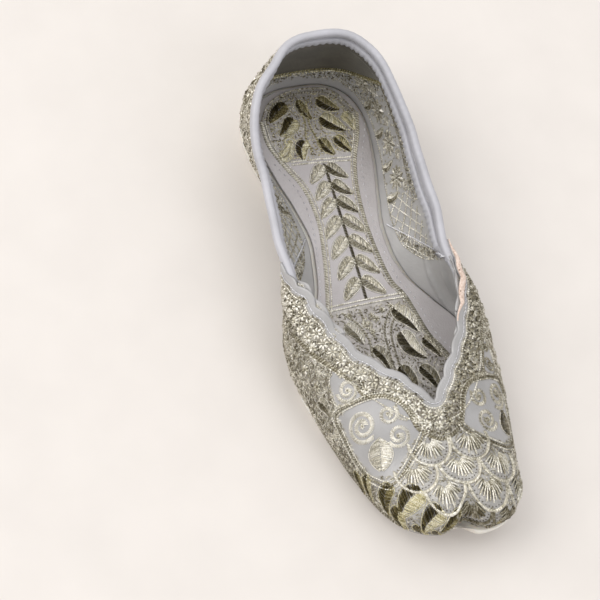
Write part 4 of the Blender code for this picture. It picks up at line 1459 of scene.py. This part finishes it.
def scrollwork(needle, where, tone, contrast, seed_pitch, leaf):
    """Leaves, scrolls and small flowers spread over a region, seed stitches between them."""
    places = needle.everywhere(MOTIF_PITCH)
    for k, (x, y) in enumerate(places[where(places)]):
        if not needle.free((x, y) + chance.uniform(-1.5, 1.5, (6, 2))).all():
            continue
        turn = 0.5 * math.pi + chance.uniform(-0.9, 0.9) + (math.pi if k % 2 else 0.0)
        way = heading(turn)
        if k % 3 == 0:
            half = way * leaf[0] * 0.5
            needle.satin([(x, y) - half, (x, y) + turned(way) * 0.9, (x, y) + half], leaf[1],
                         (tone, tone - contrast))
        elif k % 3 == 1:
            needle.spiral(x, y, 3.1, math.degrees(turn), 1.2, 1.0 if k % 2 else -1.0, tone)
        else:
            needle.rosette(x, y, 2.0, tone, tone - contrast)
    needle.fill(where, seed_pitch)


# Middles of the toe's scales, row by row from the throat to the toe: along, sideways places
SCALE_ROWS = ((42.0, (-8.0, 12.0)), (31.5, (-18.0, 3.0, 23.0)), (21.0, (-8.0, 13.0, 33.0)),
              (10.5, (3.0, 23.0)))
SCALE_RADIUS = 9.6
# Plain silver fields on each side of the toe, and the arched border of the throat's band
INNER_FIELD = ((-10, 50), (-28, 32), (-38, 36), (-43, 45), (-46, 58), (-47, 68), (-38, 69.5), (-28, 69.5),
               (-21, 67.5), (-16, 63), (-12.5, 56))
OUTER_FIELD = ((12, 49), (20, 43), (32, 39), (42, 44), (45, 56), (43, 67), (36, 69), (28, 68.5), (21, 67),
               (16.5, 63), (14, 56))
INNER_HEART = ((-46, 73), (-34, 71.5), (-31, 76), (-34, 87), (-41, 91), (-46, 84))
OUTER_HEART = ((31, 73), (38, 71.5), (43, 76), (43, 85), (38, 90), (34, 86))
BAND_BORDER = ((-60, 112), (-50, 98), (-43, 90), (-35.5, 80), (-30.5, 72), (-22, 69), (-16, 64),
               (-13, 58), (-11, 51), (-6, 46), (0, 44), (6, 46), (11, 51), (13.5, 58), (16.5, 64),
               (22, 69), (29.5, 71),
               (32.5, 78), (38, 90), (44, 104), (49, 118))
# Large two-tone leaves on the sides of the toe: spine from base to tip, width, tones
TOE_LEAVES = (
    (((-19, 23), (-26, 20.5), (-34, 16)), 9.5, (0.85, 0.22)),
    (((-31, 29), (-37, 25.5), (-43, 19)), 7.0, (0.4, 0.2)),
    (((-32, 18.5), (-38, 16), (-44, 11)), 6.5, (0.75, 0.2)),
    (((-13, 14.5), (-19, 12), (-26, 8)), 8.5, (0.85, 0.2)),
    (((-4, 11), (-9, 8), (-15, 4)), 6.5, (0.5, 0.2)),
    (((-26, 10), (-32, 8), (-39, 3)), 6.0, (0.75, 0.25)),
    (((-17, 5), (-22, 3), (-29, -1)), 5.5, (0.7, 0.2)),
    (((-48, 42), (-53, 38), (-57, 32)), 6.0, (0.5, 0.15)),
    (((-41, 38), (-46, 34), (-51, 27)), 6.0, (0.8, 0.15)),
    (((46, 38), (50, 34), (54, 28)), 6.0, (0.5, 0.12)),
    (((41, 28), (46, 24), (49, 18)), 6.0, (0.6, 0.12)),
    (((38, 18), (42, 13), (43, 6)), 6.0, (0.35, 0.1)),
    (((18, 6), (23, 4), (29, 1)), 5.5, (0.6, 0.12)))
# Motifs in the silver fields, each with what it takes.  Inner side: a bright satin oval and
# scrolls; outer side: thread painted darker, painted shade of the outer side
FIELD_MOTIFS = (
    ("satin", ((-29.5, 51.5), (-31.0, 44), (-33, 36.5)), 11.0, (0.95, 0.85), 0.5, -0.25, True, 0.9),
    ("spiral", -20.5, 50, 5.4, 200, 1.5, 1.0, 1.0, 1.7),
    ("spiral", -23, 61.0, 4.6, 30, 1.3, -1.0, 0.95, 1.6),
    ("spiral", -36, 59.5, 7.6, -60, 1.8, -1.0, 1.0, 2.0, 0.25),
    ("spiral", -38.5, 77.5, 5.4, 180, 1.5, 1.0, 1.0, 1.7),
    ("rope", ((-15, 56), (-18.5, 58), (-19, 63), (-15.5, 66)), 1.2, 0.75, 0.5, 0.95),
    ("rosette", -39, 85.5, 2.2, 0.85, 0.5),
    ("spiral", 25, 50, 5.4, -20, 1.5, -1.0, 0.75, 1.7),
    ("spiral", 23.5, 61, 4.6, 150, 1.3, 1.0, 0.7, 1.6),
    ("spiral", 36, 61.5, 6.2, 240, 1.8, 1.0, 0.7, 1.7, 0.25),
    ("satin", ((37.5, 43), (38, 49), (37.5, 55)), 9.0, (0.3, 0.45), 0.6, 0.1),
    ("spiral", 37, 77, 3.8, 0, 1.4, -1.0, 0.55, 1.1), ("rosette", 38, 85, 2.0, 0.6, 0.2))
# Width of the plain strip along the throat's cut edge
PLAIN_STRIP = 4.6


def embroider_vamp(needle):
    """Scales over the toe, scrolls in silver fields, a band along the throat, leaves down the sides."""
    edge = throat_edge_line()
    dense = curve(edge, 0.5)[0]

    def to_edge(points):
        best = np.full(len(points), 1e9)
        for k in range(0, len(dense), 200):
            gap = points[:, None] - dense[None, k:k + 200]
            best = np.minimum(best, np.hypot(gap[..., 0], gap[..., 1]).min(axis=1))
        return best

    def in_band(points):
        return in_outline(band, points)

    def between(points):
        plain_field = np.zeros(len(points), bool)
        for field in (INNER_FIELD, OUTER_FIELD, INNER_HEART, OUTER_HEART):
            plain_field |= in_outline(field, points)
        return ~in_band(points) & ~plain_field

    def flank(points):
        return between(points) & ((np.abs(points[:, 0]) > 42) | (points[:, 1] > 70))

    def front(points):
        return between(points) & (points[:, 1] > -2) & ~flank(points)

    # The plain strip along the cut edge, kept free, with its bright line of small stitches
    grid = needle.raster()
    opening = np.concatenate([edge, [(80, 170), (-80, 170)]])
    plain = (in_outline(opening, grid) | (to_edge(grid) < PLAIN_STRIP)).reshape(needle.taken.shape)
    needle.taken |= plain
    needle.layer("band")
    needle.layer("edge_run")
    needle.run(offset_line(edge, -3.3), 2.1, 1.7, 0.5, 1.0, 0.45, mark=False)
    needle.layer("band")
    border = np.array(BAND_BORDER, float)
    needle.rope(border, 1.8, 0.7, 0.6, 0.5, 0.75)
    needle.beads(offset_line(border, -2.0), 1.25, 0.9, 0.85)
    band = np.concatenate([border, [(60, 130), (60, 170), (-70, 170), (-70, 130)]])
    needle.lay_bed(band)
    needle.bed[plain] = 0.0
    # Two rows of small flowers along the band, and seed stitches; the inner side's painted brighter and the
    # outer side's painted darker with dark hearts, painted light and painted shade of the two sides
    needle.beads(offset_line(edge, -5.4), 1.3, 0.95, 0.9)
    for distance, pitch, radius in ((-8.6, 6.0, 2.5), (-13.4, 5.6, 2.0)):
        for place in curve(offset_line(edge, distance), pitch)[0]:
            if in_band(place[None])[0] and needle.free(place[None])[0]:
                inner, outer = place[0] < 3, place[0] > 3
                needle.rosette(*place, radius, 1.0 if inner else 0.7, 0.1 if outer else 0.6)
    needle.fill(lambda p: in_band(p) & (p[:, 0] < 3), 1.15, (1.0, 1.7), (0.5, 0.95))
    needle.fill(in_band, 1.15, (1.0, 1.7), (0.1, 0.65))

    needle.layer("scales")
    clear = []
    for y, places in SCALE_ROWS:
        for x in places:
            # Scales painted brighter on the inner side than on the outer, painted light of the lit inner
            # side; the front row is darker
            needle.fan(x, y, SCALE_RADIUS, clear, 0.55 if y < 15 else 0.95 if x < 5 else 0.85)
        clear = [(x, y, SCALE_RADIUS + 0.3) for x in places]

    needle.layer("fields")
    # The outer field's borders painted darker than the inner's, painted shade of the outer side
    for field, tone in ((INNER_FIELD, 0.95), (OUTER_FIELD, 0.7)):
        middle = np.mean(field, axis=0)
        ray = field - middle
        needle.beads(middle + ray * 1.02, 1.2, 0.95, tone, closed=True)
        needle.rope(middle + ray * 1.10, 1.0, 0.7, 0.5, tone - 0.35, 0.75, closed=True)
        needle.beads(middle + ray * 1.18, 1.2, 0.95, tone, closed=True)
    for heart in (INNER_HEART, OUTER_HEART):
        needle.beads(heart, 1.2, 0.8, 0.8, closed=True)
    for kind, *how in FIELD_MOTIFS:
        getattr(needle, kind)(*how)

    needle.layer("toe_leaves")
    for spine, width, tones in TOE_LEAVES:
        needle.satin(spine, width, tones, 0.58, 0.5)
    needle.layer("sides")
    u = np.linspace(0.003, 0.128, 60)
    for side, end in zip((-1.0, 1.0), vamp_chart.edges(u)):
        rim = pairs(end * 1000 - side * 1.6, u * 1000)
        needle.rope(rim, 1.3, 0.75, 0.6, 0.6)
        needle.beads(rim - [side * 2.1, 0], 1.3, 0.9, 0.6)
    needle.lay_bed(where=lambda p: flank(p) & (to_edge(p) > PLAIN_STRIP))
    scrollwork(needle, flank, 0.8, 0.4, 1.2, (10.0, 5.2))
    needle.lay_bed(where=front, level=0.4)
    needle.layer("seeds")
    needle.fill(front, 1.2, (0.9, 1.5), (0.35, 0.95))


# ---- the sock's embroidery ----

SOCK_LEFT = ((-22, -2), (-19, 0), (-15, 15), (-12, 30), (-10, 45), (-11, 60), (-14, 70), (-19, 80),
             (-23, 92), (-23, 104))
SOCK_RIGHT = ((35, -36), (31, -28), (27, -20), (22, 0), (17, 10), (14.5, 25), (13.5, 40), (14, 55),
              (16, 68), (19, 78), (24, 90), (27, 101))
SOCK_HEEL = ((-23, 104), (-17, 113), (-6, 118), (6, 118.5), (18, 115), (27, 101))
SOCK_TOE = ((24, -55), (0, -60), (-20, -40))
# Beaded lines across the sock at the ends of the stem: two ends
SOCK_BARS = (((-19, 0.0), (22, 0.4)), ((-18, 2.2), (21, 2.4)),
             ((-14, 78.5), (16, 75.8)), ((-14, 80.2), (16, 77.6)))
# Leaf pairs of the stem: how far along their tips and feet are
SOCK_PAIRS = ((6, 14), (17, 25), (28, 36), (39, 47), (50, 57), (60, 66), (69, 75.5))
# Leaves of the heel panel and of the toe panel: spine, width, tones
SOCK_LEAVES = (
    (((-19, 83), (-15, 85), (-11, 91)), 5.5, (1.0, 0.95)),
    (((-4, 90), (-7, 86), (-8, 80)), 6.5, (0.85, 0.15)),
    (((-6, 103), (-11, 98), (-16, 95)), 8.0, (0.85, 0.2)),
    (((-8, 112), (-14, 108), (-19, 103)), 7.0, (0.4, 0.15)),
    (((4, 90), (6, 85), (9, 80)), 5.5, (0.6, 0.2)), (((12, 90), (15, 85), (18, 80)), 5.5, (0.7, 0.2)),
    (((8, 102), (13, 97), (19, 92)), 8.0, (0.95, 0.2)),
    (((9, 112), (14, 107), (19, 104)), 6.5, (0.6, 0.2)),
    (((20, 102), (22.5, 97), (23, 92)), 5.0, (0.95, 0.8)),
    (((-1, 113), (0, 107), (3, 101)), 4.5, (0.5, 0.2)),
    (((14, -17), (17, -26), (23, -33)), 9.0, (0.9, 0.25)),
    (((14, -4), (20, -12), (23, -19)), 8.0, (0.9, 0.25)),
    (((24, -22), (28, -28), (30, -34)), 6.0, (0.6, 0.25)),
    (((18, -36), (22, -42), (24, -50)), 6.5, (0.5, 0.2)),
    (((-12, -8), (-8, -14), (-6, -20)), 6.0, (0.95, 0.5)),
    (((-2, -22), (2, -28), (3, -36)), 6.0, (0.7, 0.2)),
    (((8, -34), (11, -42), (12, -50)), 7.0, (0.4, 0.1)),
    (((-14, -22), (-12, -28), (-10, -34)), 6.0, (0.5, 0.2)))
# Corded stalks of the heel panel and of the toe panel, and the toe panel's small flowers
HEEL_STALKS = (((-2, 84), (-3, 92), (-1, 100), (-1, 112)), ((3, 84), (2, 92), (1, 100), (3, 112)))
TOE_STALKS = (((5, -37), (5, -26), (6, -15), (11, -6), (18, -2)),
              ((8, -36), (8, -26), (9, -16), (14, -8), (20, -4)),
              ((-12, -2), (-6, -9), (-3, -18), (-4, -26)), ((-3, -2), (-2, -10), (1, -18)))
TOE_FLOWERS = ((2, -6), (8, -4), (13, -3), (-9, -4), (0, -14), (4, -8))


def embroider_sock(needle):
    """A leafy stem down the middle between beaded borders, a flower panel at heel and toe."""
    needle.layer("borders")
    for line, tone, inward in ((SOCK_LEFT, 0.85, 1.0), (SOCK_RIGHT, 0.7, -1.0)):
        needle.rope(line, 1.8, 0.65, 0.5, tone, 0.8, stripe=0.3)
        needle.beads(line + np.array([1.9 * inward, 0.0]), 1.2, 0.95, tone + 0.1)
    needle.beads(SOCK_HEEL, 1.3, 0.95, 0.6)
    needle.rope(SOCK_HEEL * np.array([0.93, 1.0]) - [0.0, 2.0], 0.9, 0.75, 0.6, 0.6)
    for first, last in SOCK_BARS:
        middle = 0.5 * np.add(first, last) + [0.0, 0.3]
        needle.beads((first, middle, last), 1.2, 1.0, 0.95)
    # The stem and its leaf pairs; tips point to the toe
    needle.layer("stem")
    needle.rope(((2, 3), (2.2, 25), (2, 50), (2, 76)), 1.5, 0.75, 0.6, 0.25)
    for tip, foot in SOCK_PAIRS:
        reach = 10.0 if foot < 55 else 9.0
        right = (0.75, 0.6) if foot < 50 else (0.65, 0.35)
        for base, elbow, end, tones, edge in ((1.0, -4.0, 1.0 - reach, (0.8, 0.7), 1.0),
                                              (3.0, 7.6, 3.0 + reach, right, 0.95)):
            needle.satin(((base, foot), (elbow, foot - 4.8), (end, tip - 2.4)), 6.0, tones, 0.5, 0.6,
                         edge_tone=edge)
    for spine, width, tones in SOCK_LEAVES:
        needle.layer("heel" if spine[0][1] > 70 else "panels")
        needle.satin(spine, width, tones, 0.58)
    needle.layer("heel")
    for path in HEEL_STALKS:
        needle.rope(path, 1.0, 0.75, 0.6, 0.7)
    needle.spiral(-12, 91, 3.2, 0, 1.2, 1.0, 0.9)
    needle.layer("panels")
    for path in TOE_STALKS:
        needle.rope(path, 1.0, 0.75, 0.6, 0.6)
    needle.spiral(-1, -10, 3.0, 90, 1.2, 1.0, 0.8)
    for x, y in TOE_FLOWERS:
        needle.rosette(x, y, 1.6, 0.85, 0.4)
    panel = SOCK_LEFT + SOCK_HEEL[1:-1] + SOCK_RIGHT[::-1] + SOCK_TOE
    needle.lay_bed(where=lambda p: in_outline(panel, p) & ((p[:, 1] < 0) | (p[:, 1] > 80)), level=0.45)
    needle.fill(lambda p: in_outline(panel, p) & (p[:, 1] < -1), 1.6, (0.8, 1.4), (0.2, 0.8))
    needle.layer("heel")
    needle.fill(lambda p: in_outline(panel, p) & (p[:, 1] > 81), 1.5, (0.8, 1.4))
    # Short stitches that hold the sock down, well out from the panel
    needle.layer("edge_stitches")
    for line, shift in ((SOCK_LEFT[:8], -3.6), (SOCK_RIGHT, 3.8)):
        needle.run(line + np.array([shift, 0.0]), 3.4, 1.2, 0.45, 0.95)


# ---- the lining's and the quarters' embroidery ----

# Lines inside each quarter, as (along the shoe, up the wall): the front edge of the embroidery,
# the beads along it, the dense band there and the seam ahead of it
LINING_FRONT = ((4, 40), (8, 26), (12, 17), (18, 11), (26, 7), (34, 5), (110, 5), (126, 6))
LINING_BEADS = ((10, 22), (14, 15), (22, 9), (30, 6.5), (60, 5.5), (100, 5.5), (121, 7))
LINING_BAND = ((6, 30), (10, 22), (14, 15), (22, 9), (30, 6.5), (34, 9), (24, 13), (18, 19), (13, 30))
LINING_SEAM = ((8, 34), (12, 28), (17, 23), (26, 14), (38, 3))
# The lining's flowers: along, up, size
LINING_FLOWERS = ((57, 15, 6.0), (76, 15.5, 6.4), (94, 16, 6.4), (110, 17, 5.4))


def wall_path(side, places):
    """A line on the wall's chart from places along the shoe and up the wall."""
    return np.array([wall_place(side, y, height) for y, height in places])


def station_reach(side, station):
    """How far from the heel seam a station lies along the wall's chart, in millimetres."""
    return abs(wall_u(side, station)) * 1000


def rim_over(run):
    """The wall's upper edge over places along its chart, in millimetres."""
    return wall_chart.edges(run / 1000)[1] * 1000


def below_rim(points):
    """Depth below the wall's upper edge."""
    return rim_over(points[:, 0]) - points[:, 1]


def embroider_lining(needle):
    """Inside each quarter: a diamond lattice, flowers, gold borders; plain by the ears."""
    for side in (-1.0, 1.0):
        # Thread inside the inner wall painted darker than inside the outer wall, painted shade of the inner
        # wall's inside, which faces from the light
        tone = 0.85 if side > 0 else 0.6
        region = wall_path(side, LINING_FRONT + ((126, 40), (60, 40)))
        needle.layer("borders")
        needle.beads(wall_path(side, LINING_BEADS), 1.35, 0.9, tone)
        run = np.linspace(*wall_path(side, ((40, 5), (120, 5)))[:, 0], 60)
        high, low = pairs(run, rim_over(run) - 7.4), pairs(run, rim_over(run) - 10.8)
        needle.beads(high, 1.3, 0.9, tone)
        needle.rope(low, 1.2, 0.75, 0.6, tone - 0.1)
        strip = np.concatenate([high, low[::-1]])
        needle.fill(lambda p: in_outline(strip, p), 1.1, (0.9, 1.5), (0.3, 0.95))
        needle.layer("flowers")
        for y, height, size in LINING_FLOWERS:
            middle = np.array(wall_place(side, y, height))
            for way in heading(np.arange(10) * math.pi / 5 + 0.3):
                needle.satin([middle + way * 1.3, middle + way * 0.62 * size, middle + way * size * 1.1],
                             2.5, (tone + 0.2, tone - 0.2), 0.55, outline=False)
            needle.rosette(*middle, 1.5, 1.0, 0.3, 6)
        for y in (50, 66.5, 85, 102):
            x, v = wall_place(side, y, 9)
            needle.satin([(x, v - 3.5), (x + 1.0, v), (x, v + 4.5)], 3.8, (tone + 0.1, 0.5), 0.55)
            needle.spiral(*wall_place(side, y, 21), 2.8, 90, 1.2, side, tone + 0.1)
        behind = station_reach(side, 0.5 + 0.048 / LENGTH)

        def inside(p):
            return in_outline(region, p) & (below_rim(p) > 10)

        def flowered(p):
            return inside(p) & (np.abs(p[:, 0]) < behind) & (p[:, 0] * side >= 0)

        back = station_reach(side, 0.90)
        needle.fill(lambda p: flowered(p) & (np.abs(p[:, 0]) < back), 1.5, (0.9, 1.6), (0.2, 0.9))
        needle.fill(flowered, 3.0, (0.9, 1.6), (0.5, 1.0))
        band = wall_path(side, LINING_BAND)
        needle.lay_bed(band, 0.5)
        needle.fill(lambda p: in_outline(band, p), 1.2, (0.9, 1.6), (0.3, 1.0))
        needle.layer("lattice")
        needle.lattice(lambda p: inside(p) & (np.abs(p[:, 0]) >= behind), 4.6, 0.85,
                       (tone + 0.15, tone + 0.1), 0.9)
    needle.layer("seam")
    for side in (-1.0, 1.0):
        needle.run(wall_path(side, LINING_SEAM), 1.5, 1.7, 1.05, 1.0, 0.9)
        needle.run(wall_path(side, ((4.5, 39), (8.5, 33))), 1.5, 1.7, 1.05, 1.0, 3.2)


def embroider_grip(needle):
    """Gold borders along the heel grip's lower edge and under the collar."""
    needle.layer("borders")
    run = np.linspace(-GRIP_REACH * 1000, GRIP_REACH * 1000, 120)
    low = grip_edge(run / 1000) * 1000
    high = topline(run / 1000) * 1000
    needle.rope(pairs(run, low + 0.7), 1.3, 0.75, 0.6, 0.65)
    needle.beads(pairs(run, low - 1.0), 1.3, 0.95, 0.85)
    needle.beads(pairs(run, np.maximum(high - 3.6, low + 0.7)), 1.3, 0.95, 0.85)


def embroider_quarters(needle):
    """Outside of the quarters: lattice at the waist, scrolls round the heel, a band at the collar."""
    for side in (-1.0, 1.0):
        # Thread on the outer side painted darker than on the inner, painted shade of the outer side
        tone = 0.85 if side < 0 else 0.7
        far, waist, ahead = (station_reach(side, station) for station in (0.39, 0.74, 0.47))
        run = side * np.linspace(0.0, far, 120)
        rim = rim_over(run)
        needle.layer("borders")
        needle.rope(pairs(run, rim - 3.2), 1.1, 0.75, 0.6, tone)
        needle.rope(pairs(run, rim - 8.8), 1.2, 0.75, 0.6, tone - 0.15)
        for x, v in curve(pairs(run, rim - 6.0), 5.6)[0]:
            needle.rosette(x, v, 1.8, 0.9, 0.4)
        needle.rope(pairs(run, 2.4 + 0 * run), 1.2, 0.75, 0.6, tone)
        needle.beads(pairs(run, 4.4 + 0 * run), 1.35, 0.9, tone)

        def band(p, high, low):
            return (p[:, 0] * side >= 0) & (below_rim(p) > high) & (below_rim(p) < low)

        def between(p, near, end):
            reach = np.abs(p[:, 0])
            return band(p, 9.8, 1000.0) & (reach >= near) & (reach < end) & (p[:, 1] > 5.4)

        def scrolled(p):
            return between(p, 0.0, waist) | between(p, ahead, far)

        needle.lay_bed(where=lambda p: band(p, 3, 9) & (p[:, 0] != 0), level=0.9)
        needle.fill(lambda p: band(p, 3.4, 8.6) & (np.abs(p[:, 0]) < far), 1.25, (0.9, 1.5), (0.3, 0.95))
        needle.layer("lattice")
        needle.lattice(lambda p: between(p, waist, ahead), 5.4, 0.85, (0.9, 0.2), 0.62)
        needle.layer("scrolls")
        needle.lay_bed(where=scrolled, level=0.8)
        scrollwork(needle, scrolled, 0.85, 0.6, 1.35, (9.0, 4.8))


def sew_collar(needle):
    """Fine stitches along the lower edge of the collar's inner band."""
    run = np.linspace(wall_u(-1.0, 0.545) * 1000, wall_u(1.0, 0.515) * 1000, 260)
    wave = 0.5 * np.sin(run / 4.2 * 2 * math.pi)
    needle.layer("collar")
    needle.run(pairs(run, rim_over(run) - FACING_HEIGHT * 1000 + 0.9 + wave), 2.1, 1.3, 0.45, 0.9, 1.1,
               mark=False)


# ---- floor, lights and camera ----


def make_floor():
    """A wide sweep of matt pale board."""
    material, tree, shader, place = start_material("matt pale board", Roughness=0.9, IOR=1.45)
    # Clouds about 30 mm across, so that the board isn't dead flat
    cloud = add(tree, "ShaderNodeTexNoise", {"Vector": place, "Scale": 30.0, "Detail": 3.0})
    tone = add(tree, "ShaderNodeValToRGB", {"Fac": cloud}, ((0.3, "#DBD6D2"), (0.7, "#DFDAD6")))
    join(tree, shader, {"Base Color": tone})
    mesh = bpy.data.meshes.new("floor")
    mesh.from_pydata([(-3, -3, 0), (3, -3, 0), (3, 3, 0), (-3, 3, 0)], [], [(0, 1, 2, 3)])
    mesh.materials.append(material)
    floor = put("floor", mesh)


CAMERA_PLACE = Vector((-0.36315334, -0.35385561, 0.97276095))
CAMERA_AZIMUTH = math.radians(-42.345)
CAMERA_ELEVATION = math.radians(63.081)
CAMERA_ROLL = math.radians(28.263)


def camera_axes():
    """Right, up and back directions of the camera."""
    flat = math.cos(CAMERA_ELEVATION)
    back = Vector((flat * math.sin(CAMERA_AZIMUTH), -flat * math.cos(CAMERA_AZIMUTH),
                   math.sin(CAMERA_ELEVATION)))
    right = (-back).cross(Vector((0, 0, 1))).normalized()
    up = right.cross(-back)
    c, s = math.cos(CAMERA_ROLL), math.sin(CAMERA_ROLL)
    return right * c + up * s, up * c - right * s, back


def place_camera():
    """The camera, looking down on the shoe over its toe."""
    lens = bpy.data.cameras.new("camera")
    lens.sensor_width = 36.0
    lens.lens = 135.01
    lens.clip_end = 20.0
    camera = put("camera", lens)
    camera.matrix_world = Matrix.Translation(CAMERA_PLACE) @ Matrix(camera_axes()).transposed().to_4x4()
    bpy.context.scene.camera = camera


def place_light(name, direction, distance, size, power, colour):
    """A square soft box that faces the shoe."""
    lamp = bpy.data.lights.new(name, "AREA")
    lamp.size = size
    lamp.energy = power
    lamp.color = linear(colour)[:3]
    direction = Vector(direction).normalized()
    put(name, lamp).matrix_world = (Matrix.Translation(direction * distance)
                                    @ direction.to_track_quat("Z", "Y").to_matrix().to_4x4())


def light_the_shoe():
    """A big soft key from the upper left of the view, a weak fill and a pale room."""
    right, up, back = camera_axes()
    place_light("key", back - right * 0.7 + up * 0.5, 3.0, 2.2, 46.0, "#FFFDFA")
    place_light("fill", back + right * 1.1 - up * 0.4, 3.0, 2.4, 14.0, "#F6F7FF")
    place_light("top", Vector((0.1, 0.3, 1.0)), 3.0, 2.8, 24.0, "#FFFFFF")
    world = bpy.data.worlds.new("pale room")
    world.use_nodes = True
    world.node_tree.nodes["Background"].inputs["Color"].default_value = linear("#E9E7E4")
    world.node_tree.nodes["Background"].inputs["Strength"].default_value = 0.86
    bpy.context.scene.world = world
    bpy.context.scene.view_settings.view_transform = "Standard"


# ---- the whole shoe ----

vamp_needle = Needlework(vamp_chart, (-90.0, 90.0), (-2.0, 160.0))
quarter_needle, lining_needle, grip_needle = (
    Needlework(wall_chart, (-300.0, 300.0), (0.0, 90.0), True, base, out)
    for base, out in ((0.0, 1.0), (INSIDE, -1.0), (INSIDE - GRIP_THICKNESS, -1.0)))
sock_needle = Needlework(sock_chart, (-60.0, 60.0), (-130.0, 130.0))

embroider_vamp(vamp_needle)
embroider_sock(sock_needle)
embroider_lining(lining_needle)
embroider_grip(grip_needle)
embroider_quarters(quarter_needle)
sew_collar(lining_needle)

make_vamp(vamp_needle)
make_quarters(quarter_needle)
make_lining(lining_needle)
make_facing()
make_heel_grip()
make_binding()
make_ear_edge()
make_sock(sock_needle)
make_sole()
for part, needle in (("vamp", vamp_needle), ("quarter", quarter_needle), ("lining", lining_needle),
                     ("grip", grip_needle), ("sock", sock_needle)):
    for layer in needle.layers:
        thread = gold_thread
        if layer in ("seam", "collar", "edge_stitches", "edge_run"):
            thread = silver_thread
        # Heel and grip threads in the darker, yellower zari are partly painted shade of the heel cup
        elif layer in ("heel", "toe_leaves") or part == "grip":
            thread = old_gold_and_shade_thread
        sew_layer(f"{part}_{layer}", needle, layer, thread)

make_floor()
place_camera()
light_the_shoe()
